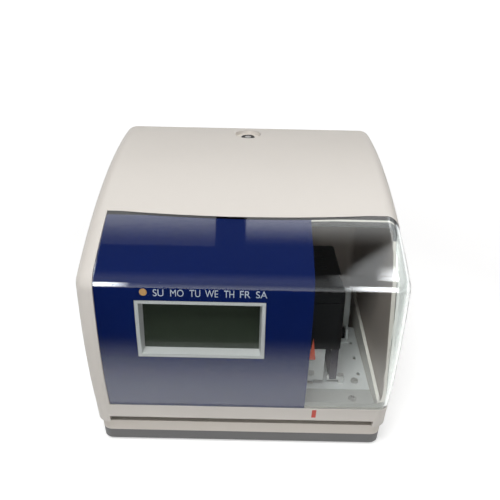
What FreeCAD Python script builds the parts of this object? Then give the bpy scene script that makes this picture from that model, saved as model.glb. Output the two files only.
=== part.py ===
import FreeCAD, Part
import math
import os

# A desk machine that stamps date and time on a sheet pushed into its front slot.
# Millimetres. +Z is up, the front looks along -Y, and the origin is the middle of the underside.

# Overall size
WIDTH = 150.0
DEPTH = 141.0
HEIGHT = 139.1
OVERRUN = 20.0
MATCH = 0.01

# Side outline of cover and case, from the foot up the face, over the ridge and back along the top
FOOT_BEHIND_RIDGE = 14.4
SILL_BEHIND_RIDGE = 9.2
SILL_Z = 26.0
FACE_BEHIND_RIDGE = 1.8
FACE_Z = 62.0
RIDGE_Y = -70.2
RIDGE_DROP = 33.2
TOP_Y = 1.0
TOP_DROP = 6.8
SILL_ROUND = 80.0
RIDGE_ROUND = 9.0
REAR_ROUND = 7.0
SIDE_ROUND = 7.0

# Levels of the stack
FOOT_HEIGHT = 1.5
TRAY_TOP = 8.5
TABLE_TOP = 16.0
COVER_GAP = 0.2
SLOT_HEIGHT = 5.0
SLOT_LIP = 0.4
DECK_THICKNESS = 1.2

# Cover
COVER_WALL = 2.8
SLOT_DEPTH = 9.0
VENT_COUNT = 6
VENT_WIDTH = 2.2
VENT_PITCH = 6.0
VENT_BOTTOM = 58.0
VENT_HEIGHT = 26.0
VENT_X = 10.0
NOTCH_GAP = 0.3

# Window and printed panel
WINDOW_THICKNESS = 1.5
WINDOW_GAP = 0.3
WINDOW_SIDE = 8.7
WINDOW_SILL = 30.0
WINDOW_FOOT_BEHIND_RIDGE = 12.0
WINDOW_WAIST_BEHIND_RIDGE = 25.7
WINDOW_WAIST_DROP = 10.9
WINDOW_HEAD_BEHIND_RIDGE = 40.7
WINDOW_HEAD_DROP = 11.1
WINDOW_BOW = 3.8
WINDOW_TOP_BEHIND_RIDGE = 39.7
PANEL_GAP = 0.03
PANEL_THICKNESS = 0.3
PANEL_OVER_CARTRIDGE = 17.5
SEAT_GAP = 0.03
SEAT_THICKNESS = 1.84
SEAT_WIDTH = 1.0
SEAT_LAP = 3.5

# Display
FRAME_LEFT = -48.5
FRAME_WIDTH = 58.7
FRAME_HEIGHT = 31.3
FRAME_DROP = 10.3
FRAME_RIM = 1.4
FRAME_TAPER = 1.0
FRAME_DEPTH = 7.6
FRAME_GAP = 0.15
LCD_MARGIN = 1.5
LCD_THICKNESS = 2.8
LCD_GAP = 0.1
DISPLAY_BOARD_MARGIN = 7.2
DISPLAY_BOARD_THICKNESS = 1.6
DISPLAY_BOSS_RADIUS = 2.6
DISPLAY_BOSS_INSET = 2.9
SMALL_SCREW_RADIUS = 1.1
SMALL_HEAD_RADIUS = 2.1
SMALL_HEAD_HEIGHT = 1.4
SMALL_SCREW_LENGTH = 4.0
SCREW_FIT = 0.05
LENS_RADIUS = 1.65
LENS_FROM_FRAME_SIDE = 4.3
LENS_DROP = 6.1

# Red mark on the lip
MARK_SHIFT = 0.3
MARK_WIDTH = 2.2
MARK_DEPTH = 0.4

# Lock
LOCK_FROM_REAR = 18.5
LOCK_RECESS_RADIUS = 7.5
LOCK_RECESS_DEPTH = 2.4
LOCK_BOSS_RADIUS = 10.0
LOCK_BOSS_DEPTH = 6.4
BARREL_RADIUS = 4.0
BARREL_PROUD = 0.8
BARREL_LENGTH = 17.4
BARREL_FIT = 0.05
PLUG_RADIUS = 2.9
PLUG_FIT = 0.05
PLUG_SINK = 0.2
PLUG_TAIL = 2.8
KEYWAY_LENGTH = 4.2
KEYWAY_WIDTH = 0.9
KEYWAY_DEPTH = 1.6
NUT_RADIUS = 6.5
NUT_HEIGHT = 2.9
NUT_SIDES = 6
CAM_LENGTH = 12.5
CAM_HALF_WIDTH = 3.8
CAM_THICKNESS = 1.5
CAM_GAP = 0.5
STRIKE_GAP = 1.0
STRIKE_THICKNESS = 1.5
STRIKE_HALF_WIDTH = 5.0
STRIKE_REACH = 7.3
STRIKE_FOOT = 9.0

# Lower case
LOWER_INSET = 1.5
LOWER_WALL = 2.2
TABLE_THICKNESS = 2.0
TABLE_FROM_REAR = 36.5
FIN_THICKNESS = 1.8
FIN_GAP = 0.5
FIN_BEHIND_RIDGE = 17.2
FIN_FROM_REAR = 28.5
FIN_FRONT_TOP = 28.5
FIN_REAR_TOP = 38.3
RIB_BEHIND_RIDGE = 15.2
RIB_WIDTH = 2.4
CASE_BOSS_RADIUS = 3.6
CASE_BOSS_FROM_SIDE = 13.0
CASE_BOSS_BEHIND_RIDGE = 48.2
CASE_BOSS_FROM_REAR = 42.5
CASE_SCREW_RADIUS = 1.5
CASE_HEAD_RADIUS = 3.0
CASE_HEAD_HEIGHT = 1.8
CASE_SCREW_END = 12.0
FOOT_RADIUS = 7.0
PAD_FROM_SIDE = 15.0
PAD_BEHIND_RIDGE = 30.2
PAD_FROM_REAR = 15.5
FLOOR_SLOT_COUNT = 8
FLOOR_SLOT_WIDTH = 2.5
FLOOR_SLOT_PITCH = 7.0
FLOOR_SLOT_LENGTH = 36.0
FLOOR_SLOT_Y = -26.0

# Power inlet in its block at the rear
INLET_FROM_SIDE = 30.0
INLET_WIDTH = 9.0
INLET_HEIGHT = 11.0
INLET_LENGTH = 14.0
INLET_BOTTOM = 17.0
INLET_BORE = 3.2
INLET_DEPTH = 9.5
INLET_PIN = 1.05
INLET_FIT = 0.1
BLOCK_WALL = 4.0
BLOCK_LENGTH = 9.0
BLOCK_BOTTOM = 10.0
BLOCK_SETBACK = 0.2

# Deck and entry guide over the paper slot
DECK_FIT = 0.4
DECK_BEHIND_RIDGE = 33.7
DECK_FROM_TABLE_REAR = 9.0
GUIDE_HEIGHT = 3.2
GUIDE_BEHIND_RIDGE = 14.0
GUIDE_STEP = 1.2
GUIDE_STEP_DEPTH = 6.0
GUIDE_CHAMFER = 1.2
GUIDE_GAP = 0.3
GUIDE_SCREW_FROM_DECK_SIDE = 11.1
GUIDE_SCREW_BEFORE_DECK = 9.4
DECK_SCREW_FROM_SIDE = 7.3
DECK_SCREW_FROM_FRONT = 7.7
DECK_SCREW_FROM_REAR = 5.0
DECK_HOLE_SHIFT = 0.5
DECK_HOLE_FROM_FRONT = 6.6
DECK_HOLE_RADIUS = 1.9
NOTCH_WIDTH = 1.6
NOTCH_LENGTH = 3.0
NOTCH_FROM_DECK_SIDE = 5.0
NOTCH_PITCH = 15.0
NOTCH_COUNT = 3

# Print line: deck slot, platen, ribbon and its posts
LINE_FROM_DECK_SIDE = 19.9
LINE_FROM_DECK_FRONT = 11.9
LINE_FROM_DECK_REAR = 19.6
LINE_SLOT_WIDTH = 3.4
PLATEN_MARGIN = 3.0
PLATEN_DEPTH = 1.6
PLATEN_FIT = 0.1
RIBBON_WIDTH = 4.0
RIBBON_THICKNESS = 0.2
RIBBON_RISE = 0.8
POST_RADIUS = 1.6
POST_FROM_DECK_FRONT = 7.5
POST_FROM_DECK_REAR = 3.5
POST_OVERHANG = 1.2
POST_PILLAR = 3.0
RIBBON_GAP = 0.3

# Print frame, guide shaft, lead screw and carriage
PLATE_FROM_SHAFT = 8.5
SHEET = 1.5
LUG_WIDTH = 14.0
LUG_BOTTOM = 26.0
LUG_FROM_DECK_FRONT = 3.5
LUG_OVERHANG = 0.5
FRAME_FLANGE = 9.0
SHAFT_FROM_LINE = 12.6
SHAFT_Z = 41.0
SHAFT_RADIUS = 2.0
SHAFT_END = 1.2
SHAFT_FIT = 0.02
SCREW_Z = 31.0
SCREW_RADIUS = 2.0
RUN_FIT = 0.06
GROOVE_COUNT = 6
GROOVE_DEPTH = 0.3
CARRIAGE_LEFT_REACH = 5.5
CARRIAGE_RIGHT_REACH = 7.0
CARRIAGE_BOTTOM = 27.0
CARRIAGE_TOP = 45.0
CARRIAGE_LENGTH = 14.0
CARRIAGE_FROM_LUG = 13.5
CARRIAGE_ROUND = 1.5
HEAD_LENGTH = 10.0
HEAD_BOTTOM = 29.0
HEAD_OVERHANG = 2.6
NOSE_TOP_HALF = 2.4
NOSE_TIP_HALF = 1.1
NOSE_GAP = 0.5
HEAD_FIN_COUNT = 4
HEAD_FIN_GAP = 1.0
HEAD_FIN_DEPTH = 1.6

# Gears and motor
MODULE = 0.8
SCREW_TEETH = 24
PINION_TEETH = 12
GEAR_THICKNESS = 2.8
GEAR_GAP = 0.7
ADDENDUM_SHARE = 0.9
DEDENDUM_SHARE = 1.15
ROOT_TOOTH_SHARE = 0.28
TIP_TOOTH_SHARE = 0.10
PINION_PHASE_SHARE = 0.5
MOTOR_SHAFT_RADIUS = 1.0
MOTOR_RADIUS = 12.5
MOTOR_LENGTH = 20.0
MOTOR_BOSS_RADIUS = 3.0
MOTOR_EAR_RADIUS = 3.5
MOTOR_EAR_SPREAD = 15.5
MOTOR_EAR_THICKNESS = 1.0
BRACKET_FROM_TABLE_REAR = 4.0
BRACKET_THICKNESS = 1.2
BRACKET_FROM_DECK_SIDE = 2.5
BRACKET_REACH = 19.0
BRACKET_LOW_TOP = 47.0
BRACKET_HIGH_TOP = 60.0
BRACKET_FOOT = 3.0
BOSS_FIT = 0.1

# Ribbon cartridge
CARTRIDGE_WIDTH = 37.9
CARTRIDGE_OVER_LINE = 2.3
CARTRIDGE_FROM_DECK_FRONT = 2.3
CARTRIDGE_FROM_DECK_REAR = 1.8
CARTRIDGE_BOTTOM = 47.0
CARTRIDGE_TOP = 80.0
CARTRIDGE_ROUND = 2.0
LID_LINE = 0.7
LID_DROP = 5.0
LID_RIB_COUNT = 5
LID_RIB_WIDTH = 1.4
LID_RIB_HEIGHT = 0.9
LID_RIB_MARGIN = 7.0
RIBBON_POCKET = 2.0
KNOB_FROM_CARTRIDGE_SIDE = 10.0
KNOB_Z = 64.0
KNOB_RADIUS = 6.0
KNOB_LENGTH = 4.5
KNOB_GAP = 0.4
KNOB_SPINDLE = 1.8
KNOB_SPINDLE_LENGTH = 5.0
KNOB_FLUTES = 12
FLUTE_RADIUS = 0.8
POINTER_HALF = 1.8
POINTER_BOTTOM = 40.5
POINTER_TOP = 53.7
POINTER_THICKNESS = 0.5

# Trigger lever
LEVER_FROM_DECK_SIDE = 9.5
LEVER_FROM_DECK_REAR = 11.0
LEVER_Z = 27.0
LEVER_HALF = 2.0
LEVER_HUB = 2.6
LEVER_PIN = 1.0
LEVER_TOE_GAP = 0.6
LEVER_ARM_HALF = 1.2
LEVER_TOE_HALF = 0.8
LEVER_SWING = 5.6
EAR_GAP = 0.5
EAR_THICKNESS = 1.2
EAR_HALF = 3.2
EAR_TOP = 3.2

# Paper stop
STOP_LEFT = -40.0
STOP_RIGHT = 20.0
STOP_FROM_DECK_REAR = 5.0
STOP_THICKNESS = 2.0
STOP_GAP = 0.15
STOP_STEM_WIDTH = 4.0
STOP_STEM_TOP = 28.0
STOP_TAB_WIDTH = 10.0
STOP_TAB_HEIGHT = 1.6
STOP_FORWARD = 6.0
STOP_BACK = 2.4

# Main board
BOARD_FROM_DECK_SIDE = 7.5
BOARD_FROM_CARTRIDGE = 6.0
BOARD_BEFORE_DECK = 9.5
BOARD_FROM_DECK_REAR = 4.0
BOARD_Z = 40.0
BOARD_THICKNESS = 1.6
STANDOFF_RADIUS = 2.6
STANDOFF_INSET = 5.0
STANDOFF_FROM_DECK_FRONT = 5.5
CHIP_LENGTH = 24.0
CHIP_WIDTH = 10.0
CHIP_HEIGHT = 3.2
CHIP_FROM_BOARD_REAR = 29.0
CHIP_PITCH = 14.0
CHIP_FROM_BOARD_SIDE = 8.0
CAPACITOR_RADIUS = 7.0
CAPACITOR_HEIGHT = 22.0
CAPACITOR_FROM_BOARD_SIDE = 18.0
CAPACITOR_FROM_BOARD_REAR = 10.0
CRYSTAL_RADIUS = 2.4
CRYSTAL_LENGTH = 9.0
HEADER_LENGTH = 20.0
HEADER_WIDTH = 5.0
HEADER_HEIGHT = 7.0
HEADER_FROM_BOARD_SIDE = 1.0
BUTTON_FROM_BOARD_FRONT = 6.0
BUTTON_FROM_BOARD_SIDE = 8.0
BUTTON_PITCH = 11.0
SWITCH_HALF = 3.2
SWITCH_HEIGHT = 3.6
BUTTON_RADIUS = 1.6
BUTTON_FIT = 0.1
BUTTON_TOP = 48.0
BUTTON_BOTTOM_GAP = 1.2

# Back-up battery in the rear bay
CELL_RADIUS = 7.0
CELL_LENGTH = 48.0
CELL_FROM_REAR = 28.5
CELL_FROM_BLOCK = 28.5
CELL_GAP = 0.2
CELL_NIPPLE_RADIUS = 2.5
CELL_NIPPLE_HEIGHT = 1.0
CRADLE_THICKNESS = 2.0
CRADLE_HEIGHT = 12.0
CRADLE_SPREAD = 15.0

# Values worked out from the sizes above: outer skin, case and levels
HALF = WIDTH / 2
REAR_Y = DEPTH / 2
REAR_Z = HEIGHT
TOP_Z = HEIGHT - TOP_DROP
RIDGE_Z = HEIGHT - RIDGE_DROP
ABOVE = HEIGHT + OVERRUN
FOOT_Y = RIDGE_Y + FOOT_BEHIND_RIDGE
SILL_Y = RIDGE_Y + SILL_BEHIND_RIDGE
FACE_Y = RIDGE_Y + FACE_BEHIND_RIDGE
DECK_BOTTOM = TABLE_TOP + SLOT_HEIGHT
DECK_TOP = DECK_BOTTOM + DECK_THICKNESS
SLOT_TOP = DECK_BOTTOM - SLOT_LIP
SKIRT_Z = TABLE_TOP + COVER_GAP
TRAY_FLOOR = LOWER_INSET + LOWER_WALL
CASE_HALF = HALF - LOWER_INSET
FIN_OUTER = HALF - COVER_WALL - FIN_GAP
FIN_INNER = FIN_OUTER - FIN_THICKNESS
FIN_FRONT_Y = RIDGE_Y + FIN_BEHIND_RIDGE
FIN_REAR_Y = REAR_Y - FIN_FROM_REAR
SLOT_HALF = FIN_INNER - RIB_WIDTH
RIB_FRONT_Y = RIDGE_Y + RIB_BEHIND_RIDGE
TABLE_REAR = REAR_Y - TABLE_FROM_REAR
CASE_BOSS_X = HALF - CASE_BOSS_FROM_SIDE
CASE_BOSS_FRONT_Y = RIDGE_Y + CASE_BOSS_BEHIND_RIDGE
CASE_BOSS_REAR_Y = REAR_Y - CASE_BOSS_FROM_REAR
FOOT_X = HALF - PAD_FROM_SIDE
FOOT_FRONT_Y = RIDGE_Y + PAD_BEHIND_RIDGE
FOOT_REAR_Y = REAR_Y - PAD_FROM_REAR
LOCK_Y = REAR_Y - LOCK_FROM_REAR
INLET_X = INLET_FROM_SIDE - HALF

# Places on the deck
DECK_HALF = FIN_INNER - DECK_FIT
DECK_FRONT_Y = RIDGE_Y + DECK_BEHIND_RIDGE
DECK_REAR_Y = TABLE_REAR - DECK_FROM_TABLE_REAR
GUIDE_FRONT_Y = RIDGE_Y + GUIDE_BEHIND_RIDGE
GUIDE_SCREW_X = DECK_HALF - GUIDE_SCREW_FROM_DECK_SIDE
GUIDE_SCREW_Y = DECK_FRONT_Y - GUIDE_SCREW_BEFORE_DECK
DECK_SCREW_X = DECK_HALF - DECK_SCREW_FROM_SIDE
DECK_SCREW_FRONT_Y = DECK_FRONT_Y + DECK_SCREW_FROM_FRONT
DECK_SCREW_REAR_Y = DECK_REAR_Y - DECK_SCREW_FROM_REAR
NOTCH_X = DECK_HALF - NOTCH_FROM_DECK_SIDE
LINE_X = DECK_HALF - LINE_FROM_DECK_SIDE
LINE_FRONT_Y = DECK_FRONT_Y + LINE_FROM_DECK_FRONT
LINE_REAR_Y = DECK_REAR_Y - LINE_FROM_DECK_REAR
POST_FRONT_Y = DECK_FRONT_Y + POST_FROM_DECK_FRONT
POST_REAR_Y = DECK_REAR_Y - POST_FROM_DECK_REAR
SHAFT_X = LINE_X - SHAFT_FROM_LINE
PLATE_X = SHAFT_X - PLATE_FROM_SHAFT
LUG_FRONT_Y = DECK_FRONT_Y + LUG_FROM_DECK_FRONT
LUG_REAR_Y = DECK_REAR_Y + LUG_OVERHANG
CARRIAGE_LEFT = SHAFT_X - CARRIAGE_LEFT_REACH
CARRIAGE_RIGHT = SHAFT_X + CARRIAGE_RIGHT_REACH
CARRIAGE_Y = LUG_REAR_Y - CARRIAGE_FROM_LUG
BRACKET_Y = TABLE_REAR - BRACKET_FROM_TABLE_REAR
BRACKET_LEFT = SHAFT_X - BRACKET_REACH
BRACKET_STEP_X = SHAFT_X + BRACKET_REACH
BRACKET_RIGHT = DECK_HALF - BRACKET_FROM_DECK_SIDE
CARTRIDGE_RIGHT = LINE_X + CARTRIDGE_OVER_LINE
CARTRIDGE_LEFT = CARTRIDGE_RIGHT - CARTRIDGE_WIDTH
CARTRIDGE_FRONT = DECK_FRONT_Y + CARTRIDGE_FROM_DECK_FRONT
CARTRIDGE_REAR = DECK_REAR_Y - CARTRIDGE_FROM_DECK_REAR
KNOB_X = CARTRIDGE_LEFT + KNOB_FROM_CARTRIDGE_SIDE
DECK_HOLE_X = SHAFT_X + DECK_HOLE_SHIFT
DECK_HOLE_Y = DECK_FRONT_Y + DECK_HOLE_FROM_FRONT
LEVER_X = DECK_HALF - LEVER_FROM_DECK_SIDE
LEVER_Y = DECK_REAR_Y - LEVER_FROM_DECK_REAR
STOP_Y = DECK_REAR_Y - STOP_FROM_DECK_REAR
GEAR_DISTANCE = MODULE * (SCREW_TEETH + PINION_TEETH) / 2
MOTOR_Z = SCREW_Z + GEAR_DISTANCE

# Places on the main board
BOARD_LEFT = BOARD_FROM_DECK_SIDE - DECK_HALF
BOARD_RIGHT = CARTRIDGE_LEFT - BOARD_FROM_CARTRIDGE
BOARD_FRONT = DECK_FRONT_Y - BOARD_BEFORE_DECK
BOARD_REAR = DECK_REAR_Y - BOARD_FROM_DECK_REAR
BOARD_TOP = BOARD_Z + BOARD_THICKNESS
STANDOFF_FRONT_Y = DECK_FRONT_Y + STANDOFF_FROM_DECK_FRONT
STOP_STEM_X = (BOARD_LEFT + BOARD_RIGHT - STOP_STEM_WIDTH) / 2
CHIP_LEFT = BOARD_LEFT + CHIP_FROM_BOARD_SIDE
CHIP_Y = BOARD_REAR - CHIP_FROM_BOARD_REAR
CAPACITOR_X = BOARD_RIGHT - CAPACITOR_FROM_BOARD_SIDE
CAPACITOR_Y = BOARD_REAR - CAPACITOR_FROM_BOARD_REAR
BUTTON_LEFT = BOARD_LEFT + BUTTON_FROM_BOARD_SIDE
BUTTON_Y = BOARD_FRONT + BUTTON_FROM_BOARD_FRONT

# Places in the window and the display
WINDOW_LEFT = WINDOW_SIDE - HALF
WINDOW_FOOT_Y = RIDGE_Y + WINDOW_FOOT_BEHIND_RIDGE
WINDOW_WAIST_Y = RIDGE_Y + WINDOW_WAIST_BEHIND_RIDGE
WINDOW_WAIST_Z = RIDGE_Z - WINDOW_WAIST_DROP
WINDOW_HEAD_Y = RIDGE_Y + WINDOW_HEAD_BEHIND_RIDGE
WINDOW_HEAD_Z = HEIGHT - WINDOW_HEAD_DROP
WINDOW_TOP_Y = RIDGE_Y + WINDOW_TOP_BEHIND_RIDGE
PANEL_RIGHT = CARTRIDGE_LEFT + PANEL_OVER_CARTRIDGE
PANEL_INSET = WINDOW_THICKNESS + PANEL_GAP
SEAT_INSET = PANEL_INSET + PANEL_THICKNESS + SEAT_GAP
BACKING_INSET = SEAT_INSET + SEAT_THICKNESS
MARK_X = SHAFT_X - MARK_SHIFT
FRAME_RIGHT = FRAME_LEFT + FRAME_WIDTH
FRAME_TOP = RIDGE_Z - FRAME_DROP
FRAME_BOTTOM = FRAME_TOP - FRAME_HEIGHT
LCD_BOTTOM = FRAME_BOTTOM - LCD_MARGIN / 2
LENS_X = FRAME_LEFT + LENS_FROM_FRAME_SIDE
LENS_Z = RIDGE_Z - LENS_DROP


def vec(x, y, z):
    return FreeCAD.Vector(x, y, z)


X_AXIS = vec(1, 0, 0)
Y_AXIS = vec(0, 1, 0)
Z_AXIS = vec(0, 0, 1)


def block(x0, x1, y0, y1, z0, z1):
    """A box between two corners."""
    return Part.makeBox(x1 - x0, y1 - y0, z1 - z0, vec(x0, y0, z0))


def rod(x, y, z, axis, radius, length):
    """A cylinder that starts at a point and runs along an axis."""
    return Part.makeCylinder(radius, length, vec(x, y, z), axis)


def face_of(points):
    return Part.Face(Part.makePolygon(points + [points[0]]))


def side_prism(points, x0, x1):
    """A polygon of (y, z) points, extruded from x0 to x1."""
    return face_of([vec(x0, y, z) for y, z in points]).extrude(vec(x1 - x0, 0, 0))


def plan_prism(points, z0, z1):
    """A polygon of (x, y) points, extruded from z0 to z1."""
    return face_of([vec(x, y, z0) for x, y in points]).extrude(vec(0, 0, z1 - z0))


def front_prism(points, y0, y1):
    """A polygon of (x, z) points, extruded from y0 to y1."""
    return face_of([vec(x, y0, z) for x, z in points]).extrude(vec(0, y1 - y0, 0))


def join(shapes):
    return shapes[0].multiFuse(shapes[1:]).removeSplitter()


def save(node, *shapes):
    """Write one node, which may hold several separate solids."""
    solids = [solid for shape in shapes for solid in shape.Solids]
    whole = solids[0] if len(solids) == 1 else Part.makeCompound(solids)
    whole.exportStep("parts/" + node + ".step")
    print(node, len(solids), round(whole.Volume), whole.isValid())


def side_outline():
    """The face of the side outline, in the plane x = 0, with a hollow blend where foot and face meet."""
    foot = vec(0, FOOT_Y, 0)
    sill = vec(0, SILL_Y, SILL_Z)
    ridge = vec(0, RIDGE_Y, RIDGE_Z)
    rear_top = vec(0, REAR_Y, REAR_Z)
    rear_foot = vec(0, REAR_Y, 0)
    face = Part.Circle(sill, vec(0, FACE_Y, FACE_Z), ridge)
    along = (sill - foot).normalize()
    outward = vec(0, -along.z, along.y)
    reach = face.Radius + SILL_ROUND
    start = foot + outward * SILL_ROUND - face.Center
    shift = -start.dot(along) - math.sqrt(start.dot(along) ** 2 - start.dot(start) + reach ** 2)
    blend_start = foot + along * shift
    centre = blend_start + outward * SILL_ROUND
    blend_end = centre + (face.Center - centre) * (SILL_ROUND / reach)
    middle = (blend_start + blend_end) * 0.5 - centre
    blend_middle = centre + middle * (SILL_ROUND / middle.Length)
    edges = [
        Part.LineSegment(foot, blend_start).toShape(),
        Part.Arc(blend_start, blend_middle, blend_end).toShape(),
        Part.Arc(blend_end, vec(0, FACE_Y, FACE_Z), ridge).toShape(),
        Part.Arc(ridge, vec(0, TOP_Y, TOP_Z), rear_top).toShape(),
        Part.LineSegment(rear_top, rear_foot).toShape(),
        Part.LineSegment(rear_foot, foot).toShape(),
    ]
    return Part.Face(Part.Wire(edges))


BODIES = {}


def body(inset):
    """The solid inside the outer skin, drawn in by a wall thickness, with all its rounds."""
    if inset in BODIES:
        return BODIES[inset]
    outline = side_outline()
    if inset > 0:
        outline = outline.makeOffset2D(-inset, 2)
    half = HALF - inset
    outline.translate(vec(-half, 0, 0))
    solid = outline.extrude(vec(2 * half, 0, 0))
    for y, z, radius in ((RIDGE_Y, RIDGE_Z, RIDGE_ROUND), (REAR_Y, REAR_Z, REAR_ROUND)):
        across = [edge for edge in solid.Edges if edge.Length > 2 * half - MATCH]
        nearest = min(across, key=lambda edge: abs(edge.CenterOfMass.y - y) + abs(edge.CenterOfMass.z - z))
        solid = solid.makeFillet(radius - inset, [nearest])
    rim = [edge for edge in solid.Edges
           if abs(abs(edge.CenterOfMass.x) - half) < MATCH and edge.BoundBox.ZMax > inset + MATCH]
    BODIES[inset] = solid.makeFillet(SIDE_ROUND - inset, rim)
    return BODIES[inset]


def slab(z0, z1):
    """A slice of all space between two levels."""
    reach = WIDTH + OVERRUN
    return block(-reach, reach, -reach, reach, z0, z1)


def face_y(inset, z):
    """Where the face, drawn in by a wall thickness, lies at a level."""
    return body(inset).common(slab(z, z + MATCH)).BoundBox.YMin


# The frame passes the seat of the window at its lower end, and display and board stand behind it
FRAME_BACK_Y = max(RIDGE_Y + FRAME_DEPTH, face_y(BACKING_INSET, LCD_BOTTOM))
LCD_FRONT = FRAME_BACK_Y + LCD_GAP
LCD_BACK = LCD_FRONT + LCD_THICKNESS
DISPLAY_BOARD_FRONT = LCD_BACK + LCD_GAP
DISPLAY_BOARD_BACK = DISPLAY_BOARD_FRONT + DISPLAY_BOARD_THICKNESS


def window_region(gap):
    """All that lies in front of the window's edge, drawn in by a gap or widened by a negative one."""
    front = RIDGE_Y - OVERRUN
    side = side_prism([
        (front, WINDOW_SILL + gap), (WINDOW_FOOT_Y - gap, WINDOW_SILL + gap),
        (WINDOW_WAIST_Y - gap, WINDOW_WAIST_Z), (WINDOW_HEAD_Y - gap, WINDOW_HEAD_Z),
        (WINDOW_HEAD_Y - gap, ABOVE), (front, ABOVE)],
        WINDOW_LEFT + gap, HALF + OVERRUN)
    ends = WINDOW_TOP_Y - gap
    left = vec(-HALF, ends, 0)
    right = vec(HALF, ends, 0)
    bow = Part.Arc(left, vec(0, ends - WINDOW_BOW, 0), right).toShape()
    corners = [right, vec(HALF + OVERRUN, ends, 0), vec(HALF + OVERRUN, front, 0), vec(-HALF, front, 0), left]
    lines = [Part.LineSegment(a, b).toShape() for a, b in zip(corners, corners[1:])]
    plan = Part.Face(Part.Wire([bow] + lines)).extrude(vec(0, 0, ABOVE))
    return side.common(plan)


def frame_hole(gap):
    """The display frame's outer block, widened by a gap."""
    return block(FRAME_LEFT - gap, FRAME_RIGHT + gap, RIDGE_Y - OVERRUN, FRAME_BACK_Y,
                 FRAME_BOTTOM - gap, FRAME_TOP + gap)


def display_corners():
    """The screw places of the display board."""
    left = FRAME_LEFT - DISPLAY_BOARD_MARGIN + DISPLAY_BOSS_INSET
    right = FRAME_RIGHT + DISPLAY_BOARD_MARGIN - DISPLAY_BOSS_INSET
    low = FRAME_BOTTOM - DISPLAY_BOSS_INSET
    high = FRAME_TOP + DISPLAY_BOSS_INSET
    return [(x, z) for x in (left, right) for z in (low, high)]


LOCK_TOP = body(0).common(rod(0, LOCK_Y, TABLE_TOP, Z_AXIS, LOCK_RECESS_RADIUS, ABOVE)).BoundBox.ZMax
RECESS_FLOOR = LOCK_TOP - LOCK_RECESS_DEPTH
BARREL_TOP = RECESS_FLOOR + BARREL_PROUD
BARREL_BOTTOM = BARREL_TOP - BARREL_LENGTH
BOSS_BOTTOM = LOCK_TOP - LOCK_BOSS_DEPTH
CAM_TOP = BARREL_BOTTOM - CAM_GAP
CAM_BOTTOM = CAM_TOP - CAM_THICKNESS
STRIKE_BOTTOM = CAM_TOP + STRIKE_GAP
BLOCK_LEFT = INLET_X - INLET_WIDTH / 2 - BLOCK_WALL
BLOCK_RIGHT = INLET_X + INLET_WIDTH / 2 + BLOCK_WALL
BLOCK_TOP = INLET_BOTTOM + INLET_HEIGHT + BLOCK_WALL
CELL_X = BLOCK_RIGHT + CELL_FROM_BLOCK
CELL_FRONT_Y = REAR_Y - CELL_FROM_REAR


def top_cover():
    """The beige moulding: skin, seat and backing of the window, paper slot, lock boss and vents."""
    skin = body(0).cut(body(COVER_WALL)).cut(window_region(0))
    clear_part = window_region(SEAT_WIDTH).common(
        block(PANEL_RIGHT, WIDTH, -DEPTH, DEPTH, 0, ABOVE))
    backing = body(SEAT_INSET).cut(body(BACKING_INSET)).common(window_region(-SEAT_LAP)).cut(clear_part)
    lock_boss = rod(0, LOCK_Y, BOSS_BOTTOM, Z_AXIS, LOCK_BOSS_RADIUS, LOCK_BOSS_DEPTH).common(body(0))
    bosses = [
        rod(x, RIDGE_Y, z, Y_AXIS, DISPLAY_BOSS_RADIUS, DISPLAY_BOARD_FRONT - RIDGE_Y).common(body(SEAT_INSET))
        for x, z in display_corners()]
    cover = join([skin, backing, lock_boss] + bosses)
    cover = cover.common(slab(SKIRT_Z, ABOVE))
    holes = [
        block(-SLOT_HALF, SLOT_HALF, RIDGE_Y - OVERRUN, SILL_Y + SLOT_DEPTH, 0, SLOT_TOP),
        rod(0, LOCK_Y, RECESS_FLOOR, Z_AXIS, LOCK_RECESS_RADIUS, OVERRUN),
        rod(0, LOCK_Y, BOSS_BOTTOM - OVERRUN, Z_AXIS, BARREL_RADIUS + BARREL_FIT, OVERRUN * 2),
        block(BLOCK_LEFT - NOTCH_GAP, BLOCK_RIGHT + NOTCH_GAP, REAR_Y - OVERRUN, REAR_Y + OVERRUN,
              0, BLOCK_TOP + NOTCH_GAP),
        frame_hole(FRAME_GAP),
        rod(LENS_X, RIDGE_Y - OVERRUN, LENS_Z, Y_AXIS, LENS_RADIUS + FRAME_GAP, OVERRUN * 2),
        red_mark(),
    ]
    holes += [
        rod(x, DISPLAY_BOARD_FRONT - SMALL_SCREW_LENGTH, z, Y_AXIS, SMALL_SCREW_RADIUS + SCREW_FIT, OVERRUN)
        for x, z in display_corners()]
    holes += [
        block(VENT_X + VENT_PITCH * i, VENT_X + VENT_PITCH * i + VENT_WIDTH, REAR_Y - COVER_WALL * 2,
              REAR_Y + OVERRUN, VENT_BOTTOM, VENT_BOTTOM + VENT_HEIGHT)
        for i in range(VENT_COUNT)]
    return cover.cut(holes)


def red_mark():
    """An inlay in the lip that shows where the stamp lands."""
    strip = block(MARK_X - MARK_WIDTH / 2, MARK_X + MARK_WIDTH / 2, RIDGE_Y, SILL_Y + SLOT_DEPTH,
                  SLOT_TOP + MARK_WIDTH, WINDOW_SILL - MARK_WIDTH / 2)
    return strip.common(body(0)).cut(body(MARK_DEPTH))


def front_window():
    return body(0).cut(body(WINDOW_THICKNESS)).common(window_region(WINDOW_GAP))


def blue_panel():
    """The thin printed sheet behind the window, with openings for the display and the lens."""
    sheet = body(PANEL_INSET).cut(body(PANEL_INSET + PANEL_THICKNESS)).common(window_region(WINDOW_GAP))
    sheet = sheet.cut(block(PANEL_RIGHT, WIDTH, -DEPTH, DEPTH, 0, ABOVE))
    lens_hole = rod(LENS_X, RIDGE_Y - OVERRUN, LENS_Z, Y_AXIS, LENS_RADIUS + FRAME_GAP, OVERRUN * 2)
    return sheet.cut([frame_hole(FRAME_GAP), lens_hole])


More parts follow.
